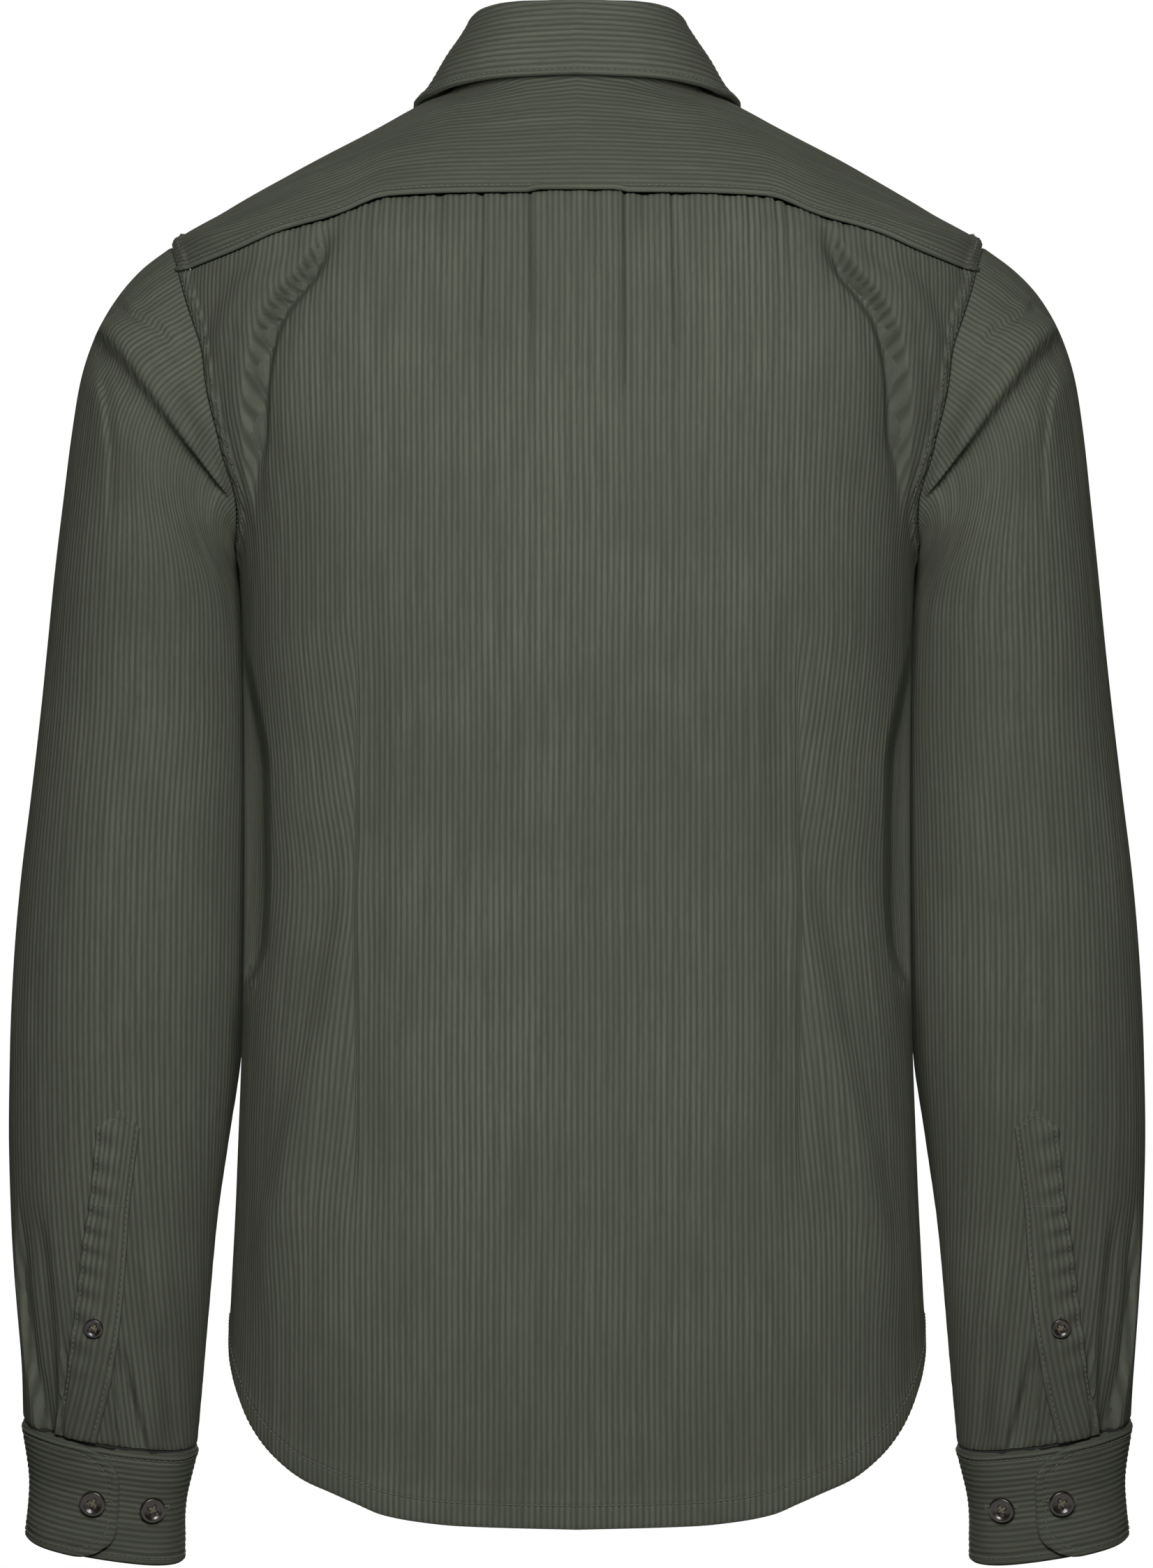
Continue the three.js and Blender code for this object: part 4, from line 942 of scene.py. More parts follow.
def on_section(size, angle):
    """A section's point. The angle is 0 at its outer end and a quarter turn at the back."""
    exponent = 2 / SLEEVE_SQUARE
    c, s = power(np.cos(angle), exponent), power(np.sin(angle), exponent)
    deep = np.where(s > 0, size["back"], size["front"]) * s
    x = (size["outer_x"] + size["inner_x"]) / 2 + c * (size["outer_x"] - size["inner_x"]) / 2
    z = (size["outer_z"] + size["inner_z"]) / 2 + c * (size["outer_z"] - size["inner_z"]) / 2
    return points(x, size["middle_y"] + deep, z - size["lean"] * deep)


def sleeve_base(row, angle):
    """The left sleeve without its folds, at a row down it and an angle round it."""
    size = {name: curve(row) for name, curve in sleeve_size.items()}
    p = on_section(size, angle)
    near = row < ARMHOLE_BLEND_ROWS
    if near.any():
        first = {name: curve(0.0) for name, curve in sleeve_size.items()}
        shift = armhole_point(angle[near]) - on_section(first, angle[near])
        shift[..., 0] += SLEEVE_START
        p[near] += shift * ((1 - row[near] / ARMHOLE_BLEND_ROWS) ** 2)[..., None]
    return p


sleeve_back = Arc(0, SLEEVE_LAST, 181, math.pi, sleeve_base)
sleeve_front = Arc(0, SLEEVE_LAST, 181, -math.pi, sleeve_base)

SLEEVE_ROW_MM = np.linspace(0, SLEEVE_LAST, 361)
SLEEVE_LINE = sleeve_base(SLEEVE_ROW_MM, np.full(361, 0.5))
SLEEVE_MM = np.concatenate([[0], np.cumsum(lengths(np.diff(SLEEVE_LINE, axis=0)))])


class Sleeve:
    """One sleeve, laid out from its outer line: + towards the back and - towards the front of it."""

    def __init__(self, word):
        self.word = word
        self.mirror = word == "right"
        self.seed = 31 if self.mirror else 30

    def angle(self, row, s):
        return np.where(s >= 0, sleeve_back.angle_at(row, s), sleeve_front.angle_at(row, s))

    def fold(self, p, angle, row):
        on = np.where(np.sin(angle) > 0, 1, -1)
        height = fold_height(SLEEVE_FOLDS, p[..., 0], p[..., 2], on) * ease(row, 0, 1.2)
        height = height + crease_height(SLEEVE_CREASES, p[..., 0], p[..., 2], on) * ease(row, 0, 0.5)
        return height * ease(np.abs(np.sin(angle)), 0.05, 0.5)

    def at_angle(self, row, angle, extra=0.0):
        row, angle = np.broadcast_arrays(np.asarray(row, float), np.asarray(angle, float))
        p = sleeve_base(row, angle)
        near, far = np.maximum(row - 0.02, 0), np.minimum(row + 0.02, SLEEVE_LAST)
        down = sleeve_base(far, angle) - sleeve_base(near, angle)
        round_it = sleeve_base(row, angle + 0.01) - sleeve_base(row, angle - 0.01)
        out = unit(np.cross(round_it, down))
        size = {name: curve(row) for name, curve in sleeve_size.items()}
        mid_x, mid_z = (size["outer_x"] + size["inner_x"]) / 2, (size["outer_z"] + size["inner_z"]) / 2
        middle = points(mid_x, size["middle_y"], mid_z)
        away = unit(p - middle)
        out = out * np.where((out * away).sum(-1) < 0, -1, 1)[..., None]
        inner = ease(np.cos(angle), -1, -0.6)
        rough = uneven(p, self.seed, 1.0) * ease(row, 0, 2) * ease(SLEEVE_LAST - row, 0, 1) * inner
        beside_body = 1.7 * ease(row, 0.3, 2) * (1 - ease(row, 7.5, 10)) + 1.4 * bump(row - 9, 4)
        height = self.fold(p, angle, row) + rough
        p = p - points((1 - inner) * beside_body, 0, 0)
        return p + away * height[..., None] + out * np.asarray(extra, float)[..., None], out

    def surface(self, row, s):
        return self.at_angle(row, self.angle(row, s))

    def make(self):
        mm = rounded_steps(SLEEVE_MM[-1], 6.4, zone=(3, 112, 1.8))
        rows = np.interp(mm, SLEEVE_MM, SLEEVE_ROW_MM)
        low = -sleeve_front.length(rows) + SEAM / 2
        high = sleeve_back.length(rows) - SEAM / 2
        return ribbed("sleeve_cloth_" + self.word, rows, low, high, self.surface, CLOTH, mm,
                      ends=(mm, SLEEVE_MM[-1] - mm), mirror=self.mirror, seed=self.seed)


# Plackets

def placket_angle(row):
    down = np.maximum(0, (row - PLACKET["tip_row"]) / (SLEEVE_LAST - PLACKET["tip_row"]))
    return PLACKET["tip_angle"] + (PLACKET["foot_angle"] - PLACKET["tip_angle"]) * down ** 1.8


def placket_surface(sleeve):
    def surface(row, s):
        middle = placket_angle(row)
        apart = lengths(sleeve_base(row, middle + 0.02) - sleeve_base(row, middle - 0.02)) / 0.04
        foot = np.interp(SLEEVE_LAST, SLEEVE_ROW_MM, SLEEVE_MM) - np.interp(row, SLEEVE_ROW_MM, SLEEVE_MM)
        wave = np.sin(foot / 1.9 + s / 9 + 2 * np.sin(foot / 17))
        pucker = 0.9 * wave * ease(-s, -7, 9) * ease(foot, 20, 60)
        return sleeve.at_angle(row, middle + s / apart, PLACKET["lift"] + pucker)
    return surface


def placket_outline():
    foot_mm, tip_mm = SLEEVE_MM[-1] - 0.2, float(np.interp(PLACKET["tip_row"], SLEEVE_ROW_MM, SLEEVE_MM))
    shoulder_mm = float(np.interp(PLACKET["shoulder_row"], SLEEVE_ROW_MM, SLEEVE_MM))
    mm = tip_mm + rounded_steps(foot_mm - tip_mm, 2, marks=(shoulder_mm - tip_mm,))
    half = PLACKET_WIDTH / 2 * np.clip((mm - tip_mm) / (shoulder_mm - tip_mm) + 0.03, 0, 1)
    return mm, half, foot_mm


def make_placket(sleeve):
    mm, half, foot_mm = placket_outline()
    rows = np.interp(mm, SLEEVE_MM, SLEEVE_ROW_MM)
    stitch_off = PLACKET_WIDTH / 2 - PLACKET_STITCH
    groove = {"depth": 0.6, "off": lambda value, s, length, p: np.abs(s) - stitch_off}
    return ribbed("placket_cloth_" + sleeve.word, rows, -half, half, placket_surface(sleeve), CLOTH, mm,
                  ends=(mm - mm[0], foot_mm - mm), grooves=[groove], mirror=sleeve.mirror,
                  seed=40 + sleeve.seed, lining_step=3)


# Cuffs

def cuff_sink(angle):
    start = CUFF_END - CUFF_LAP * CUFF_PER_MM
    turned = (angle - start) / (2 * math.pi + CUFF_LAP * CUFF_PER_MM)
    return (TWO_PLY + SEAM + 0.3) * (1 - ease(turned, 0.15, 0.25))


def on_cuff(angle, share):
    """The left cuff at an angle and a share of the way down."""
    grow = -cuff_sink(angle) - CUFF_WAIST * np.sin(np.pi * share) ** 2
    size = {name: column[0] + (column[1] - column[0]) * share for name, column in CUFF.items()}
    size["outer_x"] = size["outer_x"] + grow
    size["inner_x"] = size["inner_x"] - grow
    size["back"] = size["back"] + grow
    size["front"] = size["front"] + grow
    return on_section(size, angle)


def cuff_surface(turn_mm, s):
    """turn_mm runs round from the buttonhole end backwards, and s up from the cuff's lower edge."""
    angle = CUFF_END + 2 * math.pi - turn_mm * CUFF_PER_MM
    share = 1 - s / CUFF_HEIGHT
    p = on_cuff(angle, share)
    across = on_cuff(angle + 0.01, share) - on_cuff(angle - 0.01, share)
    down = on_cuff(angle, share + 0.01) - on_cuff(angle, share - 0.01)
    out = unit(np.cross(down, across))
    edge = np.minimum(np.minimum(s, CUFF_HEIGHT - s), np.minimum(turn_mm, CUFF_ROUND + CUFF_LAP - turn_mm))
    soft = 0.35 * np.sin(turn_mm / 5.2 + s / 17) * bump(edge - 5, 8)
    return p + out * (soft + 0.5 * bump(edge - 2.5, 3))[..., None], out


def cuff_back_cut(turn_mm):
    """How far the rounded corners cut the cuff's height back near its buttonhole end."""
    q = np.clip(turn_mm, 0.0, CUFF_CORNER)
    return CUFF_CORNER - np.sqrt(CUFF_CORNER ** 2 - (CUFF_CORNER - q) ** 2)


def make_cuff(sleeve):
    full = CUFF_ROUND + CUFF_LAP
    corner = [0, 0.4, 1, 1.8, 3, 4.6, 6.6, 9, 12, 15.5, 19]
    turn = np.unique(np.concatenate([corner, rounded_steps(full, 4.5)]))
    turn = turn[np.append(np.diff(turn) > 0.3, True)]
    cut = cuff_back_cut(turn)
    groove = {"depth": 0.55, "off": lambda value, s, length, p: cuff_stitch_off(value, s)}
    return ribbed("cuff_cloth_" + sleeve.word, turn, cut, CUFF_HEIGHT - cut, cuff_surface, TWO_PLY, turn,
                  ends=(turn, full - turn), grooves=[groove], mirror=sleeve.mirror,
                  seed=50 + sleeve.seed, lining_step=2)


def cuff_stitch_off(turn_mm, s):
    """The distance from the line of stitches inside the cuff's edge."""
    up = np.minimum(s, CUFF_HEIGHT - s)
    in_corner = (turn_mm < CUFF_CORNER) & (up < CUFF_CORNER)
    corner = CUFF_CORNER - np.hypot(CUFF_CORNER - turn_mm, CUFF_CORNER - up)
    return np.where(in_corner, corner, np.minimum(up, turn_mm)) - CUFF_STITCH


def cuff_stitch_line():
    """The places round and up the cuff that its stitches follow."""
    turn = np.radians(np.linspace(0, 90, 16))
    corner = CUFF_CORNER - (CUFF_CORNER - CUFF_STITCH) * np.stack([np.sin(turn), np.cos(turn)], -1)
    run = np.linspace(CUFF_ROUND + CUFF_LAP - CUFF_STITCH, CUFF_CORNER, 90)[:-1]
    low = np.concatenate([np.stack([run, np.full(len(run), CUFF_STITCH)], -1), corner])
    side = np.linspace(CUFF_CORNER, CUFF_HEIGHT - CUFF_CORNER, 8)[1:-1]
    high = low[::-1] * [1, -1] + [0, CUFF_HEIGHT]
    return np.concatenate([low, np.stack([np.full(len(side), CUFF_STITCH), side], -1), high])


# Collar

def collar_line(line, angle):
    turn = np.abs(angle)
    degrees = np.degrees(turn)
    past = np.clip((180 - degrees) / (180 - COLLAR_END), -9, 1)
    x = line["x"](degrees) * np.where(degrees > COLLAR_END, past, 1)
    return points(np.sign(angle) * x, line["y"](degrees), line["z"](degrees))


def clear_of_body(p, clear):
    for _ in range(6):
        out = body_out(p)
        here, there = body_level(p), body_level(p + out * 0.5)
        short = clear - (here - 1) / (there - here) * 0.5
        p = p + out * np.maximum(short, 0)[..., None]
    return p


class Profile:
    """Profiles by angle round the neck, each a smooth line through a few points, measured from its start."""

    STEPS = 120

    def __init__(self, angles, knots):
        self.angles = angles
        self.shown, self.full = [], []
        for knot in knots:
            at = np.concatenate([[0], np.cumsum(lengths(np.diff(knot, axis=0)))])
            fine = np.linspace(0, at[-1], 400)
            line = np.stack([smooth(at, knot[:, i])(fine) for i in range(3)], -1)
            along = np.concatenate([[0], np.cumsum(lengths(np.diff(line, axis=0)))])
            even = np.linspace(0, along[-1], self.STEPS + 1)
            self.shown.append(np.stack([np.interp(even, along, line[:, i]) for i in range(3)], -1))
            self.full.append(along[-1])
        self.shown, self.full = np.array(self.shown), np.array(self.full)

    def length(self, angle):
        return np.interp(angle, self.angles, self.full)

    def base(self, angle, s):
        i = (angle - self.angles[0]) / (self.angles[-1] - self.angles[0]) * (len(self.angles) - 1)
        return lookup(self.shown, i, np.clip(s / self.length(angle), 0, 1) * self.STEPS)

    def surface(self, angle, s):
        turn, step = 0.02, 1.0
        low, high = np.maximum(angle - turn, self.angles[0]), np.minimum(angle + turn, self.angles[-1])
        full = self.length(angle)
        across = self.base(high, s) - self.base(low, s)
        up = self.base(angle, np.minimum(s + step, full)) - self.base(angle, np.maximum(s - step, 0))
        return self.base(angle, s), unit(np.cross(up, across))


def leaf_profile():
    angles = np.radians(np.linspace(-COLLAR_END, COLLAR_END, 345))
    high, low = collar_line(roll_line, angles), collar_line(leaf_line, angles)
    flat = np.hypot(high[:, 0], high[:, 1])[:, None]
    level = high * np.array([1, 1, 0])
    seam = high - level * (TWO_PLY + 0.4) / flat + np.array([0, 0, ROLL_RISE - 1])
    crest = high + np.array([0, 0, ROLL_RISE])
    over = high + level / flat * 1.4 + np.array([0, 0, 0.6])
    fall = []
    for share in (0.18, 0.42, 0.7, 1):
        p = high + (low - high) * share
        away = np.hypot(p[:, 0], p[:, 1])[:, None]
        bulge = 2.2 * math.sin(math.pi * share)
        fall.append(clear_of_body(p + p * np.array([1, 1, 0]) * (bulge + 1) / away, TWO_PLY + LEAF_CLEAR))
    return Profile(angles, np.stack([*fall[::-1], over, crest, seam], 1))


def stand_profile():
    lap = math.asin(FRONT_LAP / NECK["side"])
    angles = np.linspace(-math.pi - lap, math.pi + lap, 371)
    low = neckline(angles) + np.array([0, 0, SEAM + 0.4])
    inside = (np.abs(angles) <= math.pi)[:, None]
    high = collar_line(roll_line, angles)
    flat = np.hypot(high[:, 0], high[:, 1])[:, None]
    high = high - high * np.array([1, 1, 0]) * STAND_IN / flat - np.array([0, 0, 1.2])
    under = 1 - ease(angles, -math.pi + 0.12, -math.pi + 0.55)
    lines = []
    for share in (0, 1 / 3, 2 / 3, 1):
        p = low + (high - low) * share
        away = np.hypot(p[:, 0], p[:, 1])
        sink = 1 - (TWO_PLY + SEAM + 0.2) * under / away
        lines.append(p * np.stack([sink, sink, np.ones(len(sink))], -1))
    return Profile(angles, np.stack(lines, 1))


leaf = leaf_profile()
stand = stand_profile()


def collar_piece(name, profile, seed, stitch, mm_per_turn):
    span = profile.angles[-1] * mm_per_turn
    mm = rounded_steps(2 * span, 4.2, fine=(0.8, 1.8, 3.4)) - span
    angle = mm / mm_per_turn
    full = profile.length(angle)
    grooves = [{"depth": 0.5, "off": lambda value, s, length, p: s - stitch}]
    return ribbed(name, angle, np.zeros(len(mm)), full, profile.surface, TWO_PLY, mm,
                  ends=(mm + span, span - mm), grooves=grooves, seed=seed, lining_step=2)


# Sewing

STITCH_RINGS = [(-0.5, 0.4), (-0.3, 1.0), (0.3, 1.0), (0.5, 0.4)]
STITCH_SIDES = 5


def stitched(name, lines, mirror=False):
    """Top stitching along lines of points. Each line is (points, directions out)."""
    verts, faces = [], []
    ring_faces = []
    for r in range(len(STITCH_RINGS) - 1):
        for i in range(STITCH_SIDES):
            a, b = r * STITCH_SIDES + i, r * STITCH_SIDES + (i + 1) % STITCH_SIDES
            ring_faces += [(a, b, b + STITCH_SIDES), (a, b + STITCH_SIDES, a + STITCH_SIDES)]
    last = (len(STITCH_RINGS) - 1) * STITCH_SIDES
    for i in range(1, STITCH_SIDES - 1):
        ring_faces += [(0, i + 1, i), (last, last + i, last + i + 1)]
    ring_faces = np.array(ring_faces)
    for line, outs in lines:
        step = lengths(np.diff(line, axis=0))
        along = np.concatenate([[0], np.cumsum(step)])
        pitch = STITCH["length"] + STITCH["gap"]
        count = max(1, int(along[-1] // pitch))
        middles = (np.arange(count) + 0.5) * along[-1] / count
        at = lambda d, values: np.stack([np.interp(d, along, values[:, i]) for i in range(3)], -1)
        centre, before, after = at(middles, line), at(middles - 1.2, line), at(middles + 1.2, line)
        out = unit(at(middles, outs))
        run = unit(after - before)
        side = unit(np.cross(out, run))
        out = np.cross(run, side)
        radius = STITCH["thick"] / 2
        for c, f, o, s in zip(centre, run, out, side):
            rings = []
            for place, width in STITCH_RINGS:
                dip = STITCH["rise"] - 0.5 * (abs(place) / 0.5) ** 3
                for i in range(STITCH_SIDES):
                    turn = 2 * math.pi * i / STITCH_SIDES
                    rise = dip + radius * width * 0.8 * math.sin(turn)
                    rings.append(c + f * place * STITCH["length"] + o * rise
                                 + s * radius * width * math.cos(turn))
            faces.append(ring_faces + len(verts) * len(rings))
            verts.append(rings)
    return mesh_piece(name, np.concatenate(verts), np.concatenate(faces), {}, mirror)


def sewn_line(surface, u, s, lift=0.0):
    p, out = surface(np.asarray(u, float), np.asarray(s, float))
    return p + out * lift, out


def line_between(a, b, count=160):
    return np.linspace(a, b, count)


def beside_armhole(inset):
    """A line on the body at a distance inside the left armhole's edge."""
    edge = ARMHOLE_LINE
    run = unit(np.roll(edge[:-1], -1, axis=0) - np.roll(edge[:-1], 1, axis=0))
    run = np.concatenate([run, run[:1]])
    inward = unit(np.cross(body_out(edge), run))
    inward = inward * np.where(((edge - edge.mean(0)) * inward).sum(-1) < 0, -1, 1)[:, None]
    p = edge + inward * inset
    for _ in range(5):
        out = body_out(p)
        rise = (body_level(p + out * 0.5) - body_level(p - out * 0.5))
        p = p - out * ((body_level(p) - 1) / rise)[:, None]
    return dressed(p, np.full(len(p), 1.15))


def body_stitching():
    lines = []
    u = np.full(300, HEM_TURN - 1.2)
    reach = float(back_panel.edge(u[:1])[0]) - 2
    lines.append(sewn_line(back_panel.surface, u, line_between(-reach, reach, 300), 0.1))
    for word, panel in front_panels.items():
        reach = float(panel.edge(u[:1])[0]) - 2
        lines.append(sewn_line(panel.surface, u, line_between(-FRONT_LAP + 3, reach, 300), 0.1))
        for off in (-FRONT_LAP + 2.5, FRONT_LAP):
            top = panel.length - 4
            lines.append(sewn_line(panel.surface, line_between(4, top, 200), np.full(200, off), 0.1))
    across = line_between(-0.985, 0.985, 300)
    lines.append(sewn_line(yoke_pattern.surface, across, np.full(300, YOKE_STITCH), 0.1))
    for inset in ARMHOLE_STITCHES:
        line, out = beside_armhole(inset)
        for hand in (1, -1):
            flip = np.array([hand, 1, 1])
            lines.append((line * flip, out * flip))
    for profile in (stand, leaf):
        end = profile.angles[-1] - 0.03
        angle = line_between(-end, end, 300)
        lines.append(sewn_line(profile.surface, angle, np.full(300, COLLAR_STITCH), 0.1))
    for hand in (1, -1):
        side = hand * (leaf.angles[-1] - 0.03)
        full = float(leaf.length(side))
        down = line_between(COLLAR_STITCH, full - 6, 60)
        lines.append(sewn_line(leaf.surface, np.full(60, side), down, 0.1))
    return stitched("body_stitching", lines)


def sleeve_stitching(sleeve):
    """The stitches of a sleeve's placket and cuff."""
    turn, s = cuff_stitch_line().T
    lines = [sewn_line(cuff_surface, turn, s, 0.1)]
    rows = [PLACKET["tip_row"], PLACKET["shoulder_row"]]
    tip, shoulder = (float(mm) for mm in np.interp(rows, SLEEVE_ROW_MM, SLEEVE_MM))
    foot, half = SLEEVE_MM[-1] - 4, PLACKET_WIDTH / 2 - PLACKET_STITCH
    cross = shoulder + PLACKET_CROSS
    path = np.array([
        [foot, -half], [shoulder + 0.6, -half], [tip + 2.8, 0], [shoulder + 0.6, half], [foot, half],
    ])
    across = np.array([[cross, -half], [cross, half]])
    for corners in (path, across):
        at = np.concatenate([[0], np.cumsum(lengths(np.diff(corners, axis=0)))])
        fine = np.linspace(0, at[-1], int(at[-1]))
        mm, off = (np.interp(fine, at, corners[:, i]) for i in (0, 1))
        lines.append(sewn_line(placket_surface(sleeve), np.interp(mm, SLEEVE_MM, SLEEVE_ROW_MM), off, 0.1))
    return stitched("sleeve_stitching_" + sleeve.word, lines, sleeve.mirror)


def buttonhole(cloth, seat, out, along, length, start):
    """A worked buttonhole on a piece of cloth: the stitches to each side of its slit, and the line of the
    slit, where a dark tube stands for painted shade inside the cut.
    """
    side = np.cross(out, along)
    corners, faces = [v.co[:] for v in cloth.data.vertices], [f.vertices[:] for f in cloth.data.polygons]
    tree = BVHTree.FromPolygons(corners, faces)

    def laid(place):
        origin = Vector((place + out * 7) * MM)
        hit = tree.ray_cast(origin, Vector(-out), 0.02)[0]
        return np.array(hit) / MM if hit else place

    stitches, slit = [], []
    for d in np.arange(start, start + length, 0.62):
        here = seat + along * d
        slit.append(laid(here) + out * 0.05)
        for hand in (1, -1):
            stitches.append(np.array([laid(here + side * hand * w) + out * rise
                                      for w, rise in ((0.15, 0.05), (0.75, 0.38), (1.45, 0.0))]))
    for d in (start - 0.4, start + length + 0.1):
        stitches.append(np.array([laid(seat + along * d + side * w) + out * rise
                                  for w, rise in ((-1.5, 0.0), (0, 0.42), (1.5, 0.0))]))
    return stitches, np.array(slit)


# Buttons

# The button's section from the middle of its face to that of its back, as shares of radius and thickness
BUTTON_PROFILE = [
    (0.0, 0.60), (0.30, 0.60), (0.52, 0.66), (0.64, 0.80), (0.74, 0.95), (0.84, 1.0),
    (0.93, 0.93), (1.0, 0.66), (1.0, 0.45), (0.93, 0.16), (0.8, 0.02), (0.0, 0.0),
]
BUTTON_SIDES = 40
HOLE_OUT = 0.315  # of the button's radius from its middle
HOLE_WIDTH = 1.0


def button(name, size, place, out, spin):
    """A four-hole button with a raised rim, sewn with a cross of thread."""
    radius, thick = size["across"] / 2, size["thick"]
    shares, heights = zip(*BUTTON_PROFILE)
    fine, levels = [], []
    for (r0, h0), (r1, h1) in zip(BUTTON_PROFILE, BUTTON_PROFILE[1:]):
        steps = max(1, int(abs(r1 - r0) / 0.06))
        fine += list(np.linspace(r0, r1, steps, endpoint=False))
        levels += list(np.linspace(h0, h1, steps, endpoint=False))
    fine, levels = fine[1:], levels[1:]
    turn = np.arange(BUTTON_SIDES) * 2 * math.pi / BUTTON_SIDES
    verts = [(0, 0, thick * 0.6)]
    for share, level in zip(fine, levels):
        verts += [(radius * share * math.cos(t), radius * share * math.sin(t), thick * level) for t in turn]
    verts.append((0, 0, 0))
    verts = np.array(verts)
    top = verts[:, 2] > thick * 0.5
    for i in range(4):
        a = math.pi / 4 + i * math.pi / 2
        hole_x, hole_y = math.cos(a) * HOLE_OUT * radius, math.sin(a) * HOLE_OUT * radius
        off = np.hypot(verts[:, 0] - hole_x, verts[:, 1] - hole_y)
        verts[:, 2] -= np.where(top, thick * 0.45 * np.exp(-(off / (HOLE_WIDTH * 0.75)) ** 4), 0)
    faces = [(0, 1 + i, 1 + (i + 1) % BUTTON_SIDES) for i in range(BUTTON_SIDES)]
    for r in range(len(fine) - 1):
        for i in range(BUTTON_SIDES):
            a, b = 1 + r * BUTTON_SIDES + i, 1 + r * BUTTON_SIDES + (i + 1) % BUTTON_SIDES
            faces += [(a, a + BUTTON_SIDES, b + BUTTON_SIDES), (a, b + BUTTON_SIDES, b)]
    end = 1 + (len(fine) - 1) * BUTTON_SIDES
    faces += [(len(verts) - 1, end + (i + 1) % BUTTON_SIDES, end + i) for i in range(BUTTON_SIDES)]
    facing = Vector(out).to_track_quat("Z", "Y").to_matrix() @ Matrix.Rotation(spin, 3, "Z")
    turned = verts @ np.array(facing).T + place
    piece = mesh_piece(name, turned, faces, {}, sharp=50)
    threads = []
    for a in (math.pi / 4, 3 * math.pi / 4):
        reach = HOLE_OUT * radius
        for shift in (-0.28, 0.28):
            t = np.linspace(-1.05, 1.05, 9)
            line = points(math.cos(a) * reach * t - math.sin(a) * shift,
                          math.sin(a) * reach * t + math.cos(a) * shift,
                          thick * 0.62 + 0.25 * (1 - t * t) - 0.5 * t ** 4)
            threads.append(line @ np.array(facing).T + place)
    return piece, threads


def tube(line, radius, sides=6):
    """A round thread along a line, closed at both ends."""
    run = unit(np.gradient(line, axis=0))
    reference = np.array([0.3, 0.2, 0.93])
    side = unit(np.cross(run, reference))
    up = np.cross(side, run)
    turn = np.arange(sides) * 2 * math.pi / sides
    around = side[:, None] * np.cos(turn)[:, None] + up[:, None] * np.sin(turn)[:, None]
    verts = (line[:, None] + radius * around).reshape(-1, 3)
    faces = []
    for r in range(len(line) - 1):
        for i in range(sides):
            a, b = r * sides + i, r * sides + (i + 1) % sides
            faces += [(a, b, b + sides), (a, b + sides, a + sides)]
    last = (len(line) - 1) * sides
    for i in range(1, sides - 1):
        faces += [(0, i + 1, i), (last, last + i, last + i + 1)]
    return verts, np.array(faces)


def tubes(name, lines, radius):
    verts, faces, count = [], [], 0
    for line in lines:
        v, f = tube(line, radius)
        verts.append(v)
        faces.append(f + count)
        count += len(v)
    return mesh_piece(name, np.concatenate(verts), np.concatenate(faces), {})


def seam_allowances():
    """The turned edges behind the seams of armholes and cuffs, which close them against the light. Their
    near-black finish is painted shade along these seams.
    """
    armhole = ARMHOLE_LINE - body_out(ARMHOLE_LINE) * (CLOTH + 1.2) + np.array([0.2, 0, 0])
    turn = np.linspace(0, 2 * math.pi, 121)
    sleeve_head = Sleeve("left").at_angle(0.06, turn, -CLOTH - 1.2)[0]
    wrist = Sleeve("left").at_angle(SLEEVE_LAST, turn, -CLOTH - 1.2)[0] - np.array([0, 0, 0.8])
    lines = [line * np.array([hand, 1, 1]) for line in (armhole, sleeve_head, wrist) for hand in (1, -1)]
    return tubes("seam_allowances", lines, 1.6)


# Finishes

class Value:
    """A number or colour that a finish's nodes give. + - * / on numbers add their Math nodes."""

    def __init__(self, finish, socket):
        self.finish, self.socket = finish, socket

    def math(self, operation, *others):
        return self.finish.add("ShaderNodeMath", {"operation": operation}, dict(enumerate((self, *others))))

    def __add__(self, other):
        return self.math("ADD", other)

    def __mul__(self, other):
        return self.math("MULTIPLY", other)

    def __sub__(self, other):
        return self.math("SUBTRACT", other)

    def __rsub__(self, other):
        return self.finish.add("ShaderNodeMath", {"operation": "SUBTRACT"}, {0: other, 1: self})

    def __truediv__(self, other):
        return self.math("DIVIDE", other)

    def __pow__(self, other):
        return self.math("POWER", other)

    __radd__, __rmul__ = __add__, __mul__

    def range(self, low, high, to_low=0.0, to_high=1.0):
        """Carries low..high over to to_low..to_high and holds it there."""
        return self.finish.add("ShaderNodeMapRange", {"clamp": True, "interpolation_type": "SMOOTHSTEP"}, {
            "Value": self, "From Min": low, "From Max": high, "To Min": to_low, "To Max": to_high})


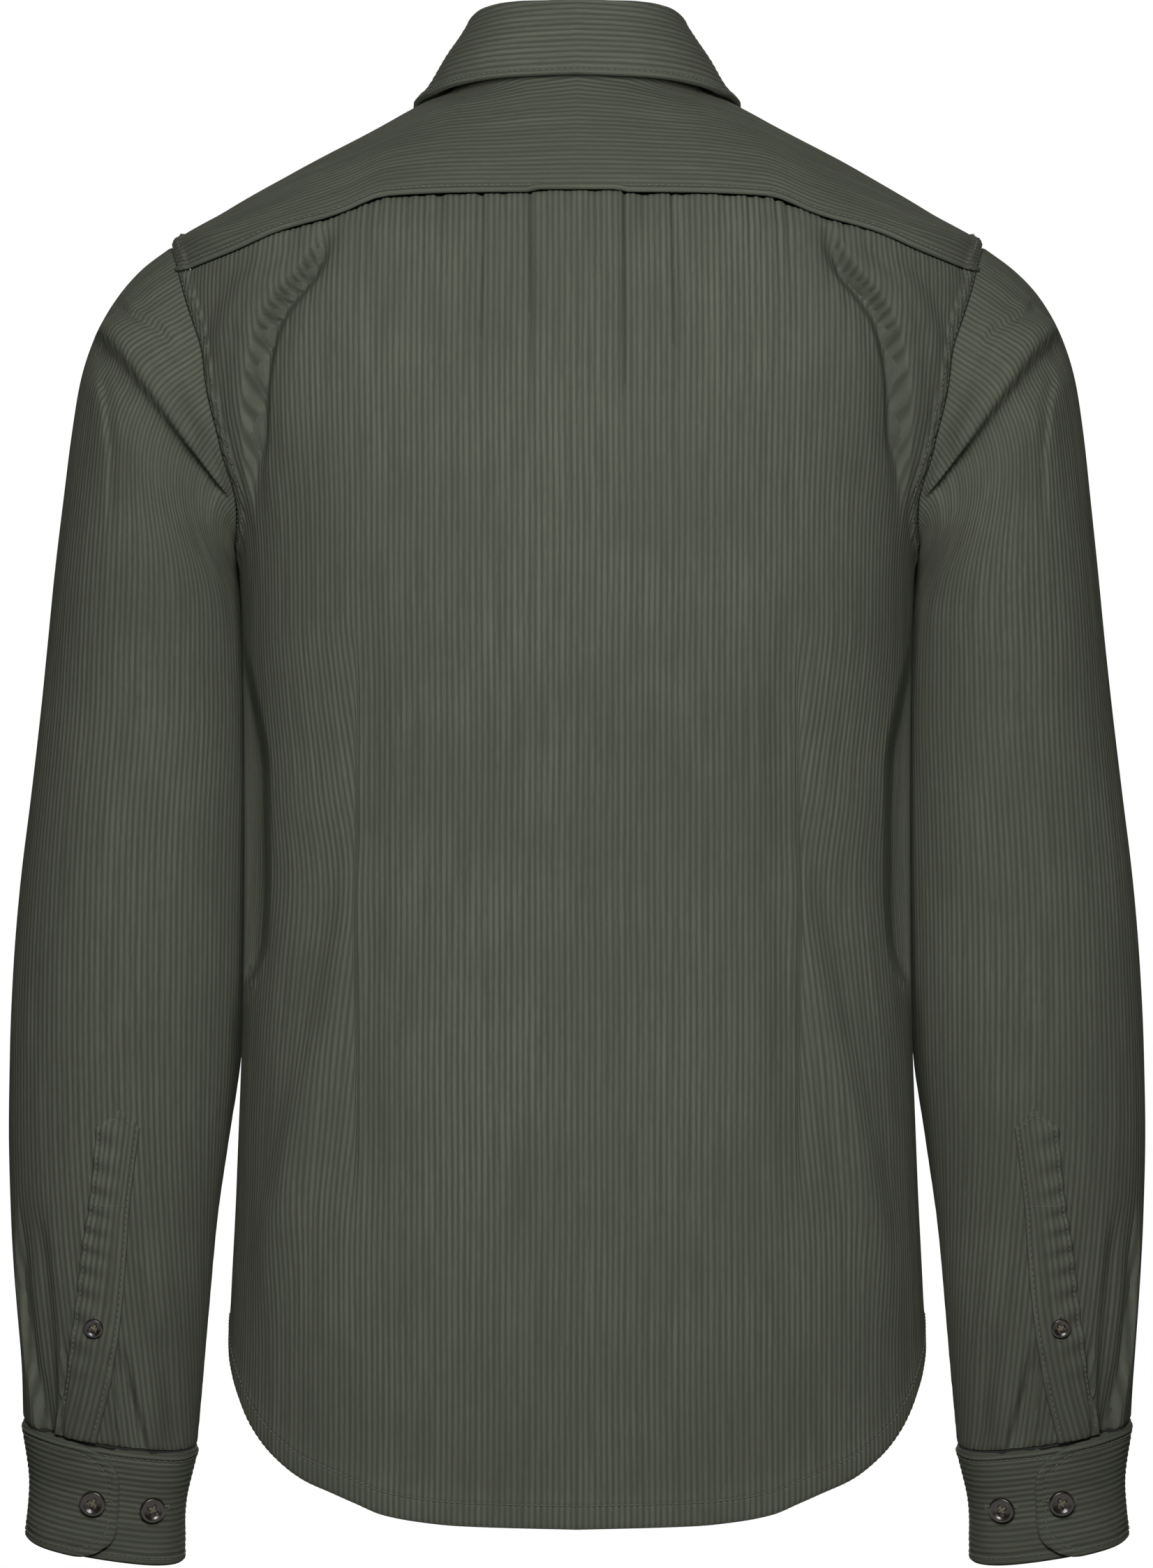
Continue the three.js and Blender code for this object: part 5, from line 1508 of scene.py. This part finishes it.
class Finish:
    """A material built from nodes."""

    def __init__(self, name, **fixed):
        self.material = bpy.data.materials.new(name)
        self.material.use_nodes = True
        self.tree = self.material.node_tree
        self.shader = self.tree.nodes["Principled BSDF"]
        for socket, value in fixed.items():
            self.shader.inputs[socket.replace("_", " ")].default_value = value

    def add(self, kind, settings=None, sockets=None, out=0):
        node = self.tree.nodes.new(kind)
        for key, value in (settings or {}).items():
            setattr(node, key, value)
        for key, value in (sockets or {}).items():
            self.put(node.inputs[key], value)
        return Value(self, node.outputs[out])

    def put(self, socket, value):
        if isinstance(value, Value):
            self.tree.links.new(value.socket, socket)
        else:
            socket.default_value = value

    def feed(self, **varying):
        for socket, value in varying.items():
            self.put(self.shader.inputs[socket.replace("_", " ")], value)
        return self.material

    def attribute(self, name, out="Fac"):
        return self.add("ShaderNodeAttribute", {"attribute_name": name}, out=out)

    def stretch(self, vector, scale):
        return self.add("ShaderNodeVectorMath", {"operation": "MULTIPLY"}, {0: vector, 1: scale})

    def noise(self, vector, scale, detail=2.0, roughness=0.5):
        sockets = {"Vector": vector, "Scale": scale, "Detail": detail, "Roughness": roughness}
        return self.add("ShaderNodeTexNoise", {}, sockets)

    def mix(self, factor, a, b):
        return self.add("ShaderNodeMix", {"data_type": "RGBA"}, {0: factor, 6: a, 7: b}, out=2)

    def bump(self, height, strength, distance):
        return self.add("ShaderNodeBump", {}, {"Strength": strength, "Distance": distance, "Height": height})

    def place(self):
        return self.add("ShaderNodeTexCoord", out="Object")


def rgb(r, g, b):
    """A colour given as it looks on a screen, 0 to 255."""
    return (*[((v / 255 + 0.055) / 1.055) ** 2.4 for v in (r, g, b)], 1)


def corduroy(name, dark, mid, light):
    finish = Finish(name, Sheen_Weight=0.05, Sheen_Roughness=0.5, Sheen_Tint=(0.62, 0.66, 0.55, 1),
                    Specular_IOR_Level=0.08)
    rib, cord = finish.attribute("rib"), finish.attribute("cord", "Vector")
    streak = finish.noise(finish.stretch(cord, (1500, 130, 1)), 1, 3, 0.6)
    pile = finish.noise(finish.stretch(cord, (3600, 1500, 1)), 1, 2, 0.7)
    wale = finish.noise(finish.stretch(cord, (380, 14, 1)), 1, 2, 0.6)
    patch = finish.noise(finish.place(), 14, 3, 0.55)
    # The rib term darkens the grooves between the ribs and lightens their tops: painted shade in the grooves.
    # The streak, pile and wale noise are the cloth's own uneven tone.
    groove_shade_and_tone = rib ** 1.4 * 0.75 + (streak - 0.5) * 0.7 + (pile - 0.5) * 0.4 + (wale - 0.5) * 1.1
    worn = finish.mix(patch.range(0.3, 0.72), mid, light)
    color = finish.mix(groove_shade_and_tone.range(0.0, 0.95), dark, worn)
    rough = 0.97 - rib * 0.08
    depth = streak * 0.5 + pile
    return finish.feed(Base_Color=color, Roughness=rough, Normal=finish.bump(depth, 0.55, 0.0003))


def thread(name, color, pale):
    finish = Finish(name, Sheen_Weight=0.2, Specular_IOR_Level=0.3)
    twist = finish.noise(finish.place(), 2600, 2)
    strand = finish.mix(twist.range(0.35, 0.7), color, pale)
    rough = 0.75 + twist * 0.15
    return finish.feed(Base_Color=strand, Roughness=rough, Normal=finish.bump(twist, 0.4, 0.0002))


def horn(name):
    finish = Finish(name, Coat_Weight=0.25, Coat_Roughness=0.12, Specular_IOR_Level=0.5)
    cloud = finish.noise(finish.place(), 420, 4, 0.6)
    scratch = finish.noise(finish.stretch(finish.place(), (900, 2600, 900)), 1, 2)
    color = finish.mix(cloud.range(0.35, 0.7), rgb(20, 16, 13), rgb(44, 35, 29))
    rough = 0.24 + scratch * 0.16
    return finish.feed(Base_Color=color, Roughness=rough, Normal=finish.bump(cloud, 0.12, 0.0002))


# The darkest colour is painted shade in the grooves between the ribs, and also the cloth's dark streaks.
cord_finish = corduroy("olive corduroy", rgb(74, 77, 67), rgb(91, 94, 83), rgb(100, 103, 91))
thread_finish = thread("olive thread", rgb(82, 84, 74), rgb(108, 110, 98))
button_thread_finish = thread("tan button thread", rgb(96, 90, 74), rgb(132, 124, 104))
# A near-black finish that stands for shade: painted shade inside the buttonhole slits and along the seams
# behind the armholes and cuffs.
painted_shade_finish = thread("painted shade", rgb(28, 29, 25), rgb(40, 41, 36))
horn_finish = horn("dark horn")


def sew_in(piece, finish, nodes=()):
    """Gives a piece its finish, its place on the shirt and the solids that it stands for."""
    piece.data.materials.append(finish)
    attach(piece, "root")
    if nodes:
        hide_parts(*nodes)
    return piece


# Making up

def make_cloth():
    made = {"back": body_panel("back_cloth", back_panel, 11), "yoke": make_yoke()}
    for i, (word, panel) in enumerate(front_panels.items()):
        made["front_" + word] = body_panel("front_cloth_" + word, panel, 12 + i)
    made["collar_stand"] = collar_piece("stand_cloth", stand, 15, COLLAR_STITCH, 62)
    made["collar_leaf"] = collar_piece("leaf_cloth", leaf, 16, COLLAR_STITCH, 76)
    for word in ("left", "right"):
        sleeve = Sleeve(word)
        made["sleeve_" + word] = sleeve.make()
        made["sleeve_placket_" + word] = make_placket(sleeve)
        made["cuff_" + word] = make_cuff(sleeve)
    hung_from = {
        "back": "yoke", "front": "yoke", "sleeve": "yoke", "collar_stand": "yoke",
        "collar_leaf": "collar_stand",
    }
    for node, piece in made.items():
        sew_in(piece, cord_finish, [node])
        first = node.rsplit("_", 1)
        above = hung_from.get(node) or hung_from.get(first[0])
        if node.startswith(("cuff", "sleeve_placket")):
            above = "sleeve_" + first[1]
    return made


def make_buttons(cloth):
    """The buttons on their solids' places, each with its thread and its buttonhole."""
    threads, worked, slits = [], [], []
    for name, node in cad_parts.items():
        if "button" not in name:
            continue
        co = np.array([v.co for v in node.data.vertices]) / MM
        middle = co.mean(0)
        spread, axes = np.linalg.eigh(np.cov((co - middle).T))
        out = axes[:, 0]
        out = out * (1 if (out[1] > 0) != ("front" in name) else -1)
        word = "left" if "left" in name or "front" in name else "right"
        if "placket" in name:
            size, under, length, start = PLACKET_BUTTON, "sleeve_placket_" + word, 13, -6.5
        elif "front" in name:
            size, under, length, start = FRONT_BUTTON, "front_left", 16, -9
        else:
            size, under, length, start = CUFF_BUTTON, "cuff_" + word, 17, -7.5
        seat = middle + out * (((co - middle) @ out).min() - 0.1)
        upright = unit(np.array([0, 0, 1.0]) - out * out[2])
        hand = 1 if word == "left" else -1
        along = hand * np.cross(upright, out) if "cuff" in name else upright
        stitches, slit = buttonhole(cloth[under], seat, out, along, length, start)
        worked += stitches
        slits.append(slit)
        piece, cross = button(name + "_horn", size, seat, out, 0.3 if "left" in name else -0.25)
        sew_in(piece, horn_finish, [name])
        stalk = np.array([seat - out * 1.1, seat - out * 0.4, seat + out * 0.3])
        threads += [*cross, stalk]
    sew_in(tubes("button_threads", threads, 0.34), button_thread_finish)
    # Near-black tubes along the slits: painted shade inside each cut.
    sew_in(tubes("buttonhole_slit_shade", slits, 0.4), painted_shade_finish)
    sew_in(tubes("buttonholes", worked, 0.26), thread_finish)


def make_studio():
    """A pale floor, a white surround and large soft lights."""
    mesh = bpy.data.meshes.new("floor")
    size, drop = 4.6, -1.25
    corners = [(-size, -size, drop), (size, -size, drop), (size, size, drop), (-size, size, drop)]
    mesh.from_pydata(corners, [], [(0, 1, 2, 3)])
    floor = bpy.data.objects.new("floor", mesh)
    bpy.context.scene.collection.objects.link(floor)
    paint = Finish("pale floor", Roughness=0.8)
    grain = paint.noise(paint.place(), 3, 2)
    pale = paint.mix(grain, (0.8, 0.8, 0.79, 1), (0.84, 0.84, 0.83, 1))
    paint.shader.inputs["Emission Strength"].default_value = 0.35
    floor.visible_diffuse = False
    mesh.materials.append(paint.feed(Base_Color=pale, Emission_Color=pale))
    world = bpy.data.worlds.new("white surround")
    bpy.context.scene.world = world
    world.use_nodes = True
    world.node_tree.nodes["Background"].inputs["Color"].default_value = (1, 1, 1, 1)
    world.node_tree.nodes["Background"].inputs["Strength"].default_value = 1.0
    world.cycles_visibility.diffuse = False
    world.cycles_visibility.glossy = False
    aim = Vector((0, 0, -0.36))
    for name, place, width, height, power_w in (
        ("key", (0.0, 1.6, 0.1), 0.7, 0.5, 25),
        ("back wall", (0.0, 4.8, 0.4), 1.6, 1.6, 9),
        ("front wall", (0.0, -4.2, 0.8), 3.2, 2.6, 120),
        ("left wall", (4.0, -0.8, 0.2), 2.4, 2.6, 13),
        ("right wall", (-4.0, -0.8, 0.2), 2.4, 2.6, 13),
        ("top", (0.0, -0.4, 3.2), 3.0, 3.0, 14),
    ):
        lamp = bpy.data.lights.new(name, "AREA")
        lamp.shape, lamp.size, lamp.size_y, lamp.energy = "RECTANGLE", width, height, power_w
        light = bpy.data.objects.new(name, lamp)
        light.location = place
        light.rotation_euler = (aim - Vector(place)).to_track_quat("-Z", "Y").to_euler()
        light.visible_camera = False
        bpy.context.scene.collection.objects.link(light)
    bpy.context.scene.view_settings.view_transform = "Standard"


def make_camera():
    lens = bpy.data.cameras.new("camera")
    lens.sensor_fit, lens.sensor_width, lens.lens = "AUTO", 36, 191.4
    camera = bpy.data.objects.new("camera", lens)
    camera.location = (0.00036, 4.3, -0.3506)
    camera.rotation_euler = (math.pi / 2, 0, math.pi)
    bpy.context.scene.collection.objects.link(camera)
    bpy.context.scene.camera = camera


cloth = make_cloth()
make_buttons(cloth)
sew_in(body_stitching(), thread_finish)
sew_in(seam_allowances(), painted_shade_finish)
for word in ("left", "right"):
    sew_in(sleeve_stitching(Sleeve(word)), thread_finish)
make_studio()
make_camera()
